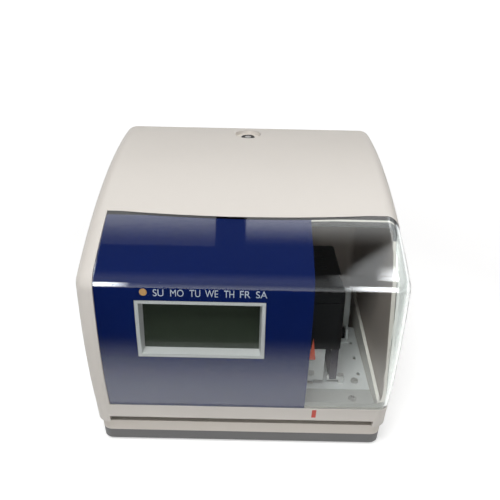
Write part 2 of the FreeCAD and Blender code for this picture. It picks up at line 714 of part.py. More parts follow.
def rectangle(x0, x1, z0, z1, y):
    corners = [vec(x0, y, z0), vec(x1, y, z0), vec(x1, y, z1), vec(x0, y, z1)]
    return Part.makePolygon(corners + [corners[0]])


def lcd_frame():
    """A deep frame whose front follows the face and whose opening narrows towards the display."""
    rim = FRAME_RIM
    back = FRAME_RIM + FRAME_TAPER
    front = rectangle(FRAME_LEFT + rim, FRAME_RIGHT - rim, FRAME_BOTTOM + rim, FRAME_TOP - rim, RIDGE_Y)
    rear = rectangle(FRAME_LEFT + back, FRAME_RIGHT - back, FRAME_BOTTOM + back, FRAME_TOP - back, FRAME_BACK_Y)
    opening = Part.makeLoft([front, rear], True, True)
    return frame_hole(0).common(body(PANEL_INSET)).cut(opening)


def lcd_panel():
    return block(FRAME_LEFT - LCD_MARGIN, FRAME_RIGHT + LCD_MARGIN, LCD_FRONT, LCD_BACK,
                 LCD_BOTTOM, FRAME_TOP + LCD_MARGIN / 2)


def display_board():
    board = block(FRAME_LEFT - DISPLAY_BOARD_MARGIN, FRAME_RIGHT + DISPLAY_BOARD_MARGIN,
                  DISPLAY_BOARD_FRONT, DISPLAY_BOARD_BACK,
                  FRAME_BOTTOM - DISPLAY_BOSS_INSET * 2, FRAME_TOP + DISPLAY_BOSS_INSET * 2)
    return board.cut([
        rod(x, DISPLAY_BOARD_FRONT - OVERRUN, z, Y_AXIS, SMALL_SCREW_RADIUS + SCREW_FIT, OVERRUN * 2)
        for x, z in display_corners()])


def display_screws():
    screws = []
    for x, z in display_corners():
        shank = rod(x, DISPLAY_BOARD_BACK, z, vec(0, -1, 0), SMALL_SCREW_RADIUS,
                    SMALL_SCREW_LENGTH + DISPLAY_BOARD_THICKNESS - SCREW_FIT)
        head = rod(x, DISPLAY_BOARD_BACK, z, Y_AXIS, SMALL_HEAD_RADIUS, SMALL_HEAD_HEIGHT)
        screws.append(join([shank, head]))
    return screws


def amber_lens():
    pipe = rod(LENS_X, RIDGE_Y, LENS_Z, Y_AXIS, LENS_RADIUS, DISPLAY_BOARD_FRONT - RIDGE_Y - LCD_GAP)
    return pipe.common(body(PANEL_INSET))


def lock_barrel():
    barrel = rod(0, LOCK_Y, BARREL_BOTTOM, Z_AXIS, BARREL_RADIUS, BARREL_LENGTH)
    rim = [edge for edge in barrel.Edges if edge.CenterOfMass.z > BARREL_TOP - MATCH]
    barrel = barrel.makeChamfer(BARREL_PROUD / 2, rim)
    return barrel.cut(rod(0, LOCK_Y, BARREL_BOTTOM - OVERRUN, Z_AXIS, PLUG_RADIUS + PLUG_FIT, OVERRUN * 3))


def lock_nut():
    step = 2 * math.pi / NUT_SIDES
    corners = [(NUT_RADIUS * math.cos(step * i), LOCK_Y + NUT_RADIUS * math.sin(step * i))
               for i in range(NUT_SIDES)]
    nut = plan_prism(corners, BOSS_BOTTOM - NUT_HEIGHT, BOSS_BOTTOM)
    return nut.cut(rod(0, LOCK_Y, BOSS_BOTTOM - OVERRUN, Z_AXIS, BARREL_RADIUS + BARREL_FIT, OVERRUN * 2))


def lock_plug():
    top = BARREL_TOP - PLUG_SINK
    bottom = CAM_BOTTOM - PLUG_TAIL / 2
    plug = rod(0, LOCK_Y, bottom, Z_AXIS, PLUG_RADIUS, top - bottom)
    keyway = block(-KEYWAY_LENGTH / 2, KEYWAY_LENGTH / 2, LOCK_Y - KEYWAY_WIDTH / 2, LOCK_Y + KEYWAY_WIDTH / 2,
                   top - KEYWAY_DEPTH, top + OVERRUN)
    return plug.cut(keyway)


def lock_cam():
    """A bar with round ends that points to the right while the cover is unlocked."""
    arm = block(0, CAM_LENGTH - CAM_HALF_WIDTH, LOCK_Y - CAM_HALF_WIDTH, LOCK_Y + CAM_HALF_WIDTH,
                CAM_BOTTOM, CAM_TOP)
    hub = rod(0, LOCK_Y, CAM_BOTTOM, Z_AXIS, CAM_HALF_WIDTH, CAM_THICKNESS)
    tip = rod(CAM_LENGTH - CAM_HALF_WIDTH, LOCK_Y, CAM_BOTTOM, Z_AXIS, CAM_HALF_WIDTH, CAM_THICKNESS)
    bar = join([arm, hub, tip])
    return bar.cut(rod(0, LOCK_Y, CAM_BOTTOM - OVERRUN, Z_AXIS, PLUG_RADIUS + SHAFT_FIT, OVERRUN * 2))


def lock_strike():
    """A tall sheet bracket on the case's rear wall, bent forward at its head to catch the cam."""
    back = REAR_Y - LOWER_INSET - LOWER_WALL
    front = back - STRIKE_THICKNESS
    top = STRIKE_BOTTOM + STRIKE_THICKNESS
    post = block(-STRIKE_HALF_WIDTH, STRIKE_HALF_WIDTH, front, back, TRAY_TOP, top)
    head = block(-STRIKE_HALF_WIDTH, STRIKE_HALF_WIDTH, back - STRIKE_REACH, back, STRIKE_BOTTOM, top)
    foot = block(-STRIKE_FOOT, STRIKE_FOOT, front, back, TRAY_TOP, TABLE_TOP)
    return join([post, head, foot])


def case_boss_places():
    return [(x, y) for x in (-CASE_BOSS_X, CASE_BOSS_X) for y in (CASE_BOSS_FRONT_Y, CASE_BOSS_REAR_Y)]


def lower_case():
    """The beige case: band, paper table, side walls with a sloping edge, deck ribs and inlet block."""
    ring = body(LOWER_INSET).cut(body(LOWER_INSET + LOWER_WALL)).common(slab(TRAY_TOP, TABLE_TOP))
    table = body(LOWER_INSET + MATCH).common(
        block(-CASE_HALF, CASE_HALF, -DEPTH, TABLE_REAR, TABLE_TOP - TABLE_THICKNESS, TABLE_TOP))
    pieces = [ring, table]
    fin = [(FIN_FRONT_Y, TABLE_TOP - TABLE_THICKNESS), (FIN_FRONT_Y, FIN_FRONT_TOP),
           (FIN_REAR_Y, FIN_REAR_TOP), (FIN_REAR_Y, TABLE_TOP - TABLE_THICKNESS)]
    for low, high in ((FIN_INNER, FIN_OUTER), (-FIN_OUTER, -FIN_INNER)):
        pieces.append(side_prism(fin, low, high))
    for low, high in ((SLOT_HALF, FIN_INNER), (-FIN_INNER, -SLOT_HALF)):
        pieces.append(block(low, high, RIB_FRONT_Y, DECK_REAR_Y, TABLE_TOP - TABLE_THICKNESS, DECK_BOTTOM))
    pieces.append(block(BLOCK_LEFT, BLOCK_RIGHT, REAR_Y - BLOCK_LENGTH, REAR_Y - BLOCK_SETBACK,
                        BLOCK_BOTTOM, BLOCK_TOP))
    for x, y in case_boss_places():
        pieces.append(rod(x, y, TRAY_FLOOR, Z_AXIS, CASE_BOSS_RADIUS, TABLE_TOP - TABLE_THICKNESS - TRAY_FLOOR))
    case = join(pieces)
    holes = [rod(x, y, 0, Z_AXIS, CASE_SCREW_RADIUS + SCREW_FIT, CASE_SCREW_END + SCREW_FIT)
             for x, y in case_boss_places()]
    holes.append(platen_block(PLATEN_FIT, OVERRUN))
    holes.append(inlet_body(INLET_FIT, OVERRUN))
    return case.cut(holes)


def platen_block(gap, rise):
    """The platen's space in the table, widened by a gap."""
    half = LINE_SLOT_WIDTH / 2 + PLATEN_MARGIN + gap
    return block(LINE_X - half, LINE_X + half, LINE_FRONT_Y - PLATEN_MARGIN - gap,
                 LINE_REAR_Y + PLATEN_MARGIN + gap, TABLE_TOP - PLATEN_DEPTH, TABLE_TOP + rise)


def inlet_body(gap, extra):
    """The power inlet's outer block, widened by a gap and lengthened both ways."""
    half = INLET_WIDTH / 2 + gap
    rear = REAR_Y - BLOCK_SETBACK
    return block(INLET_X - half, INLET_X + half, rear - INLET_LENGTH - extra, rear + extra,
                 INLET_BOTTOM - gap, INLET_BOTTOM + INLET_HEIGHT + gap)


def power_inlet():
    """A barrel socket with its centre pin."""
    rear = REAR_Y - BLOCK_SETBACK
    middle = INLET_BOTTOM + INLET_HEIGHT / 2
    socket = rod(INLET_X, rear - INLET_DEPTH, middle, Y_AXIS, INLET_BORE, INLET_DEPTH + OVERRUN)
    pin = rod(INLET_X, rear - INLET_DEPTH, middle, Y_AXIS, INLET_PIN, INLET_DEPTH - INLET_PIN)
    return join([inlet_body(0, 0).cut(socket), pin])


def base_tray():
    """The dark grey tray with vent slots, screw holes and the battery's cradle."""
    tray = body(LOWER_INSET).cut(body(TRAY_FLOOR)).common(slab(FOOT_HEIGHT, TRAY_TOP))
    reach = CELL_LENGTH / 2 + CELL_NIPPLE_HEIGHT + CELL_GAP
    ends = [block(side, side + CRADLE_THICKNESS, CELL_FRONT_Y - CELL_RADIUS, CELL_FRONT_Y + CRADLE_SPREAD,
                  TRAY_FLOOR - LOWER_WALL / 2, CRADLE_HEIGHT)
            for side in (CELL_X - reach - CRADLE_THICKNESS, CELL_X + reach)]
    tray = join([tray] + ends)
    holes = []
    for x, y in case_boss_places():
        holes.append(rod(x, y, 0, Z_AXIS, CASE_SCREW_RADIUS + SCREW_FIT, OVERRUN))
        holes.append(rod(x, y, 0, Z_AXIS, CASE_HEAD_RADIUS + SCREW_FIT, FOOT_HEIGHT + CASE_HEAD_HEIGHT))
    span = FLOOR_SLOT_PITCH * (FLOOR_SLOT_COUNT - 1)
    for i in range(FLOOR_SLOT_COUNT):
        left = FLOOR_SLOT_PITCH * i - span / 2 - FLOOR_SLOT_WIDTH / 2
        holes.append(block(left, left + FLOOR_SLOT_WIDTH, FLOOR_SLOT_Y, FLOOR_SLOT_Y + FLOOR_SLOT_LENGTH,
                           0, TRAY_TOP))
    return tray.cut(holes)


def rubber_feet():
    feet = []
    for x in (-FOOT_X, FOOT_X):
        for y in (FOOT_FRONT_Y, FOOT_REAR_Y):
            foot = rod(x, y, 0, Z_AXIS, FOOT_RADIUS, FOOT_HEIGHT)
            rim = [edge for edge in foot.Edges if edge.CenterOfMass.z < MATCH]
            feet.append(foot.makeChamfer(FOOT_HEIGHT / 3, rim))
    return feet


def case_screws():
    screws = []
    for x, y in case_boss_places():
        head = rod(x, y, FOOT_HEIGHT, Z_AXIS, CASE_HEAD_RADIUS, CASE_HEAD_HEIGHT)
        shank = rod(x, y, FOOT_HEIGHT, Z_AXIS, CASE_SCREW_RADIUS, CASE_SCREW_END - FOOT_HEIGHT)
        screws.append(join([head, shank]))
    return screws


def deck_screw_places():
    return [(x, y) for x in (-DECK_SCREW_X, DECK_SCREW_X) for y in (DECK_SCREW_FRONT_Y, DECK_SCREW_REAR_Y)]


def button_head_screws(places, level):
    """Screws with a low rounded head that stand in holes and reach down to the seat."""
    screws = []
    for x, y in places:
        head = rod(x, y, level, Z_AXIS, SMALL_HEAD_RADIUS, SMALL_HEAD_HEIGHT)
        rim = [edge for edge in head.Edges if edge.CenterOfMass.z > level + MATCH]
        screws.append(head.makeChamfer(SMALL_HEAD_HEIGHT / 3, rim))
    return screws


def deck_plate():
    """The steel deck with the print slot, the lever's and the stop's slots, a hole and notches."""
    deck = block(-DECK_HALF, DECK_HALF, DECK_FRONT_Y, DECK_REAR_Y, DECK_BOTTOM, DECK_TOP)
    low = DECK_BOTTOM - OVERRUN
    high = DECK_TOP + OVERRUN
    half = LINE_SLOT_WIDTH / 2
    holes = [
        block(LINE_X - half, LINE_X + half, LINE_FRONT_Y, LINE_REAR_Y, low, high),
        rod(DECK_HOLE_X, DECK_HOLE_Y, low, Z_AXIS, DECK_HOLE_RADIUS, high - low),
        block(LEVER_X - LEVER_HALF - EAR_GAP / 2, LEVER_X + LEVER_HALF + EAR_GAP / 2,
              LEVER_Y - LEVER_ARM_HALF - EAR_GAP, LEVER_Y + LEVER_SWING, low, high),
        block(STOP_STEM_X - STOP_GAP, STOP_STEM_X + STOP_STEM_WIDTH + STOP_GAP,
              STOP_Y - STOP_FORWARD - EAR_GAP, STOP_Y + STOP_THICKNESS + STOP_BACK + EAR_GAP / 2, low, high),
    ]
    for i in range(NOTCH_COUNT):
        y = LEVER_Y - NOTCH_PITCH * i - NOTCH_PITCH / 2
        holes.append(block(NOTCH_X, NOTCH_X + NOTCH_WIDTH, y, y + NOTCH_LENGTH, low, high))
    return deck.cut(holes)


def entry_guide():
    """The beige bar over the mouth of the slot, stepped on top and chamfered where the sheet goes in."""
    top = DECK_BOTTOM + GUIDE_HEIGHT
    rear = DECK_FRONT_Y - GUIDE_GAP
    outline = [
        (GUIDE_FRONT_Y + GUIDE_CHAMFER, DECK_BOTTOM), (rear, DECK_BOTTOM), (rear, top - GUIDE_STEP),
        (rear - GUIDE_STEP_DEPTH, top - GUIDE_STEP), (rear - GUIDE_STEP_DEPTH, top),
        (GUIDE_FRONT_Y + GUIDE_CHAMFER, top), (GUIDE_FRONT_Y, top - GUIDE_CHAMFER),
        (GUIDE_FRONT_Y, DECK_BOTTOM + GUIDE_CHAMFER)]
    corner = SIDE_ROUND - COVER_WALL
    bar = side_prism(outline, -DECK_HALF, DECK_HALF)
    cutters = []
    for side in (-1, 1):
        tip = side * (DECK_HALF + MATCH)
        cutters.append(plan_prism([
            (tip, GUIDE_FRONT_Y - MATCH), (tip - side * corner, GUIDE_FRONT_Y - MATCH),
            (tip, GUIDE_FRONT_Y + corner)], 0, DECK_BOTTOM * 2))
    return bar.cut(cutters)


def platen():
    return platen_block(0, 0).cut(slab(TABLE_TOP, ABOVE))


def print_frame():
    """A bent sheet: flange on the deck, upright plate and two lugs that carry shaft and screw."""
    top = CARTRIDGE_BOTTOM
    right = PLATE_X + SHEET + LUG_WIDTH
    plate = block(PLATE_X, PLATE_X + SHEET, LUG_FRONT_Y, LUG_REAR_Y, DECK_TOP, top)
    flange = block(PLATE_X - FRAME_FLANGE, PLATE_X + SHEET, LUG_FRONT_Y, DECK_REAR_Y, DECK_TOP, DECK_TOP + SHEET)
    front = block(PLATE_X, right, LUG_FRONT_Y, LUG_FRONT_Y + SHEET, LUG_BOTTOM, top)
    rear = block(PLATE_X, right, LUG_REAR_Y - SHEET, LUG_REAR_Y, LUG_BOTTOM, top)
    frame = join([plate, flange, front, rear])
    return frame.cut([
        rod(SHAFT_X, LUG_FRONT_Y - OVERRUN, SHAFT_Z, Y_AXIS, SHAFT_RADIUS + SHAFT_FIT, DEPTH),
        rod(SHAFT_X, LUG_FRONT_Y - OVERRUN, SCREW_Z, Y_AXIS, SCREW_RADIUS + RUN_FIT, DEPTH)])


def guide_shaft():
    start = LUG_FRONT_Y - SHAFT_END / 2
    return rod(SHAFT_X, start, SHAFT_Z, Y_AXIS, SHAFT_RADIUS, LUG_REAR_Y + SHAFT_FIT - start)


GEAR_START = LUG_REAR_Y + GEAR_GAP


def gear(x, z, teeth, start, phase_share):
    """A spur gear about Y with straight flanks and a generous backlash."""
    pitch = MODULE * teeth / 2
    root = pitch - DEDENDUM_SHARE * MODULE
    tip = pitch + ADDENDUM_SHARE * MODULE
    step = 2 * math.pi / teeth
    points = []
    for i in range(teeth):
        middle = step * (i + phase_share)
        for radius, share in ((root, -ROOT_TOOTH_SHARE), (tip, -TIP_TOOTH_SHARE),
                              (tip, TIP_TOOTH_SHARE), (root, ROOT_TOOTH_SHARE)):
            angle = middle + step * share
            points.append((x + radius * math.cos(angle), z + radius * math.sin(angle)))
    return front_prism(points, start, start + GEAR_THICKNESS)


def lead_screw():
    """The screw with turned grooves between the lugs."""
    start = LUG_FRONT_Y - SHAFT_END / 2
    end = GEAR_START + GEAR_THICKNESS + GEAR_GAP / 2
    screw = rod(SHAFT_X, start, SCREW_Z, Y_AXIS, SCREW_RADIUS, end - start)
    first = LUG_FRONT_Y + SHEET + CARRIAGE_ROUND
    pitch = (LUG_REAR_Y - SHEET - CARRIAGE_ROUND - first) / GROOVE_COUNT
    grooves = []
    for i in range(GROOVE_COUNT):
        y = first + pitch * (i + 0.5)
        outer = rod(SHAFT_X, y, SCREW_Z, Y_AXIS, SCREW_RADIUS * 2, GROOVE_DEPTH * 2)
        inner = rod(SHAFT_X, y, SCREW_Z, Y_AXIS, SCREW_RADIUS - GROOVE_DEPTH, GROOVE_DEPTH * 2)
        grooves.append(outer.cut(inner))
    return screw.cut(grooves)


def screw_gear():
    wheel = gear(SHAFT_X, SCREW_Z, SCREW_TEETH, GEAR_START, 0)
    return wheel.cut(rod(SHAFT_X, GEAR_START - OVERRUN, SCREW_Z, Y_AXIS, SCREW_RADIUS + SHAFT_FIT, DEPTH))


def motor_pinion():
    """The pinion with the motor's shaft."""
    wheel = gear(SHAFT_X, MOTOR_Z, PINION_TEETH, GEAR_START, PINION_PHASE_SHARE)
    tail = BRACKET_Y + BRACKET_THICKNESS + MOTOR_BOSS_RADIUS
    shaft = rod(SHAFT_X, GEAR_START - GEAR_GAP / 2, MOTOR_Z, Y_AXIS, MOTOR_SHAFT_RADIUS,
                tail - GEAR_START + GEAR_GAP / 2)
    return join([wheel, shaft])


def stepper_motor():
    """A round can with a front boss, two ears and a bore for the shaft."""
    front = BRACKET_Y + BRACKET_THICKNESS
    can = rod(SHAFT_X, front, MOTOR_Z, Y_AXIS, MOTOR_RADIUS, MOTOR_LENGTH)
    rim = [edge for edge in can.Edges if edge.CenterOfMass.y > front + MOTOR_LENGTH - MATCH]
    can = can.makeFillet(MOTOR_EAR_THICKNESS, rim)
    boss = rod(SHAFT_X, front - BRACKET_THICKNESS, MOTOR_Z, Y_AXIS, MOTOR_BOSS_RADIUS, BRACKET_THICKNESS * 2)
    pieces = [can, boss]
    for side in (-1, 1):
        x = SHAFT_X + side * MOTOR_EAR_SPREAD
        pieces.append(rod(x, front, MOTOR_Z, Y_AXIS, MOTOR_EAR_RADIUS, MOTOR_EAR_THICKNESS))
        low, high = sorted((SHAFT_X, x))
        pieces.append(block(low, high, front, front + MOTOR_EAR_THICKNESS,
                            MOTOR_Z - MOTOR_EAR_RADIUS, MOTOR_Z + MOTOR_EAR_RADIUS))
    motor = join(pieces)
    return motor.cut(rod(SHAFT_X, front - OVERRUN, MOTOR_Z, Y_AXIS, MOTOR_SHAFT_RADIUS + RUN_FIT,
                         OVERRUN + MOTOR_BOSS_RADIUS + RUN_FIT))


def motor_bracket():
    """An upright sheet across the rear of the print area, high at the motor, with a foot on the table."""
    rear = BRACKET_Y + BRACKET_THICKNESS
    sheet = front_prism([
        (BRACKET_LEFT, TABLE_TOP), (BRACKET_RIGHT, TABLE_TOP), (BRACKET_RIGHT, BRACKET_LOW_TOP),
        (BRACKET_STEP_X, BRACKET_LOW_TOP), (BRACKET_STEP_X - BRACKET_THICKNESS, BRACKET_HIGH_TOP),
        (BRACKET_LEFT, BRACKET_HIGH_TOP)], BRACKET_Y, rear)
    foot = block(BRACKET_LEFT, BRACKET_RIGHT, BRACKET_Y, BRACKET_Y + BRACKET_FOOT,
                 TABLE_TOP, TABLE_TOP + BRACKET_THICKNESS)
    bracket = join([sheet, foot])
    return bracket.cut(rod(SHAFT_X, BRACKET_Y - OVERRUN, MOTOR_Z, Y_AXIS, MOTOR_BOSS_RADIUS + BOSS_FIT,
                           OVERRUN * 2))


def carriage():
    """The sliding block, bored for shaft and screw."""
    start = CARRIAGE_Y - CARRIAGE_LENGTH / 2
    base = block(CARRIAGE_LEFT, CARRIAGE_RIGHT, start, start + CARRIAGE_LENGTH, CARRIAGE_BOTTOM, CARRIAGE_TOP)
    along = [edge for edge in base.Edges
             if edge.BoundBox.YLength > CARRIAGE_LENGTH - MATCH and edge.CenterOfMass.x < SHAFT_X]
    base = base.makeFillet(CARRIAGE_ROUND, along)
    return base.cut([
        rod(SHAFT_X, start - OVERRUN, SHAFT_Z, Y_AXIS, SHAFT_RADIUS + RUN_FIT, OVERRUN * 3),
        rod(SHAFT_X, start - OVERRUN, SCREW_Z, Y_AXIS, SCREW_RADIUS + RUN_FIT, OVERRUN * 3)])


RIBBON_BOTTOM = DECK_TOP + RIBBON_RISE
NOSE_TIP = RIBBON_BOTTOM + RIBBON_THICKNESS + NOSE_GAP


def print_head():
    """The finned head on the carriage, with a nose that narrows to the needles."""
    right = LINE_X + HEAD_OVERHANG
    start = CARRIAGE_Y - HEAD_LENGTH / 2
    head = block(CARRIAGE_RIGHT, right, start, start + HEAD_LENGTH, HEAD_BOTTOM, CARRIAGE_TOP)
    pitch = (CARRIAGE_TOP - HEAD_BOTTOM) / (HEAD_FIN_COUNT + 1)
    cuts = []
    for i in range(HEAD_FIN_COUNT):
        z = HEAD_BOTTOM + pitch * (i + 1)
        cuts.append(block(right - HEAD_FIN_DEPTH, right + OVERRUN, start - OVERRUN, start + HEAD_LENGTH + OVERRUN,
                          z, z + HEAD_FIN_GAP))
    wires = []
    for half, z in ((NOSE_TOP_HALF, HEAD_BOTTOM), (NOSE_TIP_HALF, NOSE_TIP)):
        corners = [vec(LINE_X - half, CARRIAGE_Y - half, z), vec(LINE_X + half, CARRIAGE_Y - half, z),
                   vec(LINE_X + half, CARRIAGE_Y + half, z), vec(LINE_X - half, CARRIAGE_Y + half, z)]
        wires.append(Part.makePolygon(corners + [corners[0]]))
    nose = Part.makeLoft(wires, True, True)
    return join([head.cut(cuts), nose])


def ribbon_posts():
    """Two pillars on the deck, each with a pin that the ribbon turns round."""
    posts = []
    pin_z = RIBBON_BOTTOM + RIBBON_THICKNESS + POST_RADIUS + RIBBON_GAP / 2
    left = LINE_X - RIBBON_WIDTH / 2 - POST_OVERHANG
    pillar_x = LINE_X + RIBBON_WIDTH / 2 + POST_OVERHANG
    for y in (POST_FRONT_Y, POST_REAR_Y):
        pin = rod(left, y, pin_z, X_AXIS, POST_RADIUS, pillar_x - left + POST_PILLAR / 2)
        pillar = block(pillar_x, pillar_x + POST_PILLAR, y - POST_RADIUS, y + POST_RADIUS,
                       DECK_TOP, pin_z + POST_RADIUS)
        posts.append(join([pin, pillar]))
    return posts


def ink_ribbon():
    """The ribbon: down from the cartridge, round the front post, over the slot, round the rear post and up."""
    pin_z = RIBBON_BOTTOM + RIBBON_THICKNESS + POST_RADIUS + RIBBON_GAP / 2
    inner = POST_RADIUS + RIBBON_GAP / 2
    outer = inner + RIBBON_THICKNESS
    top = CARTRIDGE_BOTTOM + RIBBON_POCKET / 2
    left = LINE_X - RIBBON_WIDTH / 2

    def loop(radius):
        start = POST_FRONT_Y - radius
        end = POST_REAR_Y + radius
        low = pin_z - radius
        turn = radius * math.sqrt(0.5)
        edges = [
            Part.LineSegment(vec(left, start, top), vec(left, start, pin_z)).toShape(),
            Part.Arc(vec(left, start, pin_z), vec(left, POST_FRONT_Y - turn, pin_z - turn),
                     vec(left, POST_FRONT_Y, low)).toShape(),
            Part.LineSegment(vec(left, POST_FRONT_Y, low), vec(left, POST_REAR_Y, low)).toShape(),
            Part.Arc(vec(left, POST_REAR_Y, low), vec(left, POST_REAR_Y + turn, pin_z - turn),
                     vec(left, end, pin_z)).toShape(),
            Part.LineSegment(vec(left, end, pin_z), vec(left, end, top)).toShape(),
            Part.LineSegment(vec(left, end, top), vec(left, start, top)).toShape(),
        ]
        return Part.Face(Part.Wire(edges)).extrude(vec(RIBBON_WIDTH, 0, 0))

    return loop(outer).cut(loop(inner))


def ribbon_cartridge():
    """The black cartridge: rounded case, lid line, ribs on the lid and pockets where the ribbon enters."""
    case = block(CARTRIDGE_LEFT, CARTRIDGE_RIGHT, CARTRIDGE_FRONT, CARTRIDGE_REAR,
                 CARTRIDGE_BOTTOM, CARTRIDGE_TOP)
    upright = [edge for edge in case.Edges if edge.BoundBox.ZLength > CARTRIDGE_ROUND]
    case = case.makeFillet(CARTRIDGE_ROUND, upright)
    line = CARTRIDGE_TOP - LID_DROP
    groove = slab(line, line + LID_LINE)
    inner = block(CARTRIDGE_LEFT + LID_LINE, CARTRIDGE_RIGHT - LID_LINE, CARTRIDGE_FRONT + LID_LINE,
                  CARTRIDGE_REAR - LID_LINE, CARTRIDGE_BOTTOM, CARTRIDGE_TOP)
    case = case.cut(groove.cut(inner))
    span = CARTRIDGE_REAR - CARTRIDGE_FRONT - LID_RIB_MARGIN * 2
    ribs = []
    for i in range(LID_RIB_COUNT):
        y = CARTRIDGE_FRONT + LID_RIB_MARGIN + span * i / (LID_RIB_COUNT - 1) - LID_RIB_WIDTH / 2
        ribs.append(block(CARTRIDGE_LEFT + LID_RIB_MARGIN, CARTRIDGE_RIGHT - LID_RIB_MARGIN,
                          y, y + LID_RIB_WIDTH, CARTRIDGE_TOP - LID_RIB_HEIGHT, CARTRIDGE_TOP + LID_RIB_HEIGHT))
    case = join([case] + ribs)
    cuts = [rod(KNOB_X, CARTRIDGE_FRONT - OVERRUN, KNOB_Z, Y_AXIS, KNOB_SPINDLE + RUN_FIT,
                OVERRUN + KNOB_SPINDLE_LENGTH + RUN_FIT)]
    reach = POST_RADIUS + RIBBON_GAP + RIBBON_THICKNESS
    for y, side in ((POST_FRONT_Y, -1), (POST_REAR_Y, 1)):
        low, high = sorted((y + side * (POST_RADIUS - RIBBON_GAP), y + side * reach))
        cuts.append(block(LINE_X - RIBBON_WIDTH / 2 - RIBBON_GAP / 2, LINE_X + RIBBON_WIDTH / 2 + RIBBON_GAP / 2,
                          low, high, CARTRIDGE_BOTTOM - OVERRUN, CARTRIDGE_BOTTOM + RIBBON_POCKET))
    return case.cut(cuts)


def ribbon_knob():
    """A fluted knob on a spindle that turns in the cartridge."""
    rear = CARTRIDGE_FRONT - KNOB_GAP
    knob = rod(KNOB_X, rear - KNOB_LENGTH, KNOB_Z, Y_AXIS, KNOB_RADIUS, KNOB_LENGTH)
    spindle = rod(KNOB_X, rear - KNOB_GAP, KNOB_Z, Y_AXIS, KNOB_SPINDLE, KNOB_SPINDLE_LENGTH + KNOB_GAP)
    step = 2 * math.pi / KNOB_FLUTES
    flutes = [rod(KNOB_X + KNOB_RADIUS * math.cos(step * i), rear - KNOB_LENGTH - OVERRUN,
                  KNOB_Z + KNOB_RADIUS * math.sin(step * i), Y_AXIS, FLUTE_RADIUS, OVERRUN * 2)
              for i in range(KNOB_FLUTES)]
    return join([knob.cut(flutes), spindle])


def print_pointer():
    """A narrow pointed plate on the cartridge's front."""
    return front_prism([(SHAFT_X - POINTER_HALF, POINTER_BOTTOM), (SHAFT_X + POINTER_HALF, POINTER_BOTTOM),
                        (SHAFT_X, POINTER_TOP)], CARTRIDGE_FRONT - POINTER_THICKNESS, CARTRIDGE_FRONT)


def trigger_lever():
    """A hub with a tapered toe that hangs through the deck into the paper's path."""
    left = LEVER_X - LEVER_HALF
    toe_z = TABLE_TOP + LEVER_TOE_GAP
    arm = side_prism([
        (LEVER_Y - LEVER_ARM_HALF, LEVER_Z), (LEVER_Y - LEVER_TOE_HALF, toe_z),
        (LEVER_Y + LEVER_TOE_HALF, toe_z), (LEVER_Y + LEVER_ARM_HALF, LEVER_Z)], left, LEVER_X + LEVER_HALF)
    hub = rod(left, LEVER_Y, LEVER_Z, X_AXIS, LEVER_HUB, LEVER_HALF * 2)
    return join([arm, hub]).cut(rod(left - OVERRUN, LEVER_Y, LEVER_Z, X_AXIS, LEVER_PIN + RUN_FIT, OVERRUN * 3))


def lever_bracket():
    """Two ears with a strip between them behind the lever's slot."""
    inner = LEVER_HALF + EAR_GAP
    outer = inner + EAR_THICKNESS
    ears = []
    for side in (-1, 1):
        low, high = sorted((LEVER_X + side * inner, LEVER_X + side * outer))
        ears.append(block(low, high, LEVER_Y - EAR_HALF, LEVER_Y + EAR_HALF, DECK_TOP, LEVER_Z + EAR_TOP))
    strip = block(LEVER_X - outer, LEVER_X + outer, LEVER_Y - EAR_HALF * 2, LEVER_Y - EAR_HALF + EAR_THICKNESS,
                  DECK_TOP, DECK_TOP + EAR_THICKNESS / 2)
    pin_hole = rod(LEVER_X - OVERRUN, LEVER_Y, LEVER_Z, X_AXIS, LEVER_PIN + SHAFT_FIT, OVERRUN * 2)
    return join(ears + [strip]).cut(pin_hole)


def lever_pin():
    reach = LEVER_HALF + EAR_GAP + EAR_THICKNESS * 2
    return rod(LEVER_X - reach, LEVER_Y, LEVER_Z, X_AXIS, LEVER_PIN, reach * 2)


def paper_stop():
    """The bar that the sheet meets, with a stem through the deck and a thumb tab."""
    bar = block(STOP_LEFT, STOP_RIGHT, STOP_Y, STOP_Y + STOP_THICKNESS, TABLE_TOP + STOP_GAP,
                DECK_BOTTOM - STOP_GAP)
    stem = block(STOP_STEM_X, STOP_STEM_X + STOP_STEM_WIDTH, STOP_Y, STOP_Y + STOP_THICKNESS,
                 TABLE_TOP + STOP_GAP, STOP_STEM_TOP)
    middle = STOP_STEM_X + STOP_STEM_WIDTH / 2
    tab = block(middle - STOP_TAB_WIDTH / 2, middle + STOP_TAB_WIDTH / 2, STOP_Y - STOP_THICKNESS,
                STOP_Y + STOP_THICKNESS * 2, STOP_STEM_TOP - STOP_TAB_HEIGHT, STOP_STEM_TOP)
    return join([bar, stem, tab])


def standoff_places():
    return [(x, y) for x in (BOARD_LEFT + STANDOFF_INSET, BOARD_RIGHT - STANDOFF_INSET)
            for y in (STANDOFF_FRONT_Y, BOARD_REAR - STANDOFF_INSET)]


def standoffs():
    return [rod(x, y, DECK_TOP, Z_AXIS, STANDOFF_RADIUS, BOARD_Z - DECK_TOP) for x, y in standoff_places()]


def main_board():
    return block(BOARD_LEFT, BOARD_RIGHT, BOARD_FRONT, BOARD_REAR, BOARD_Z, BOARD_TOP)


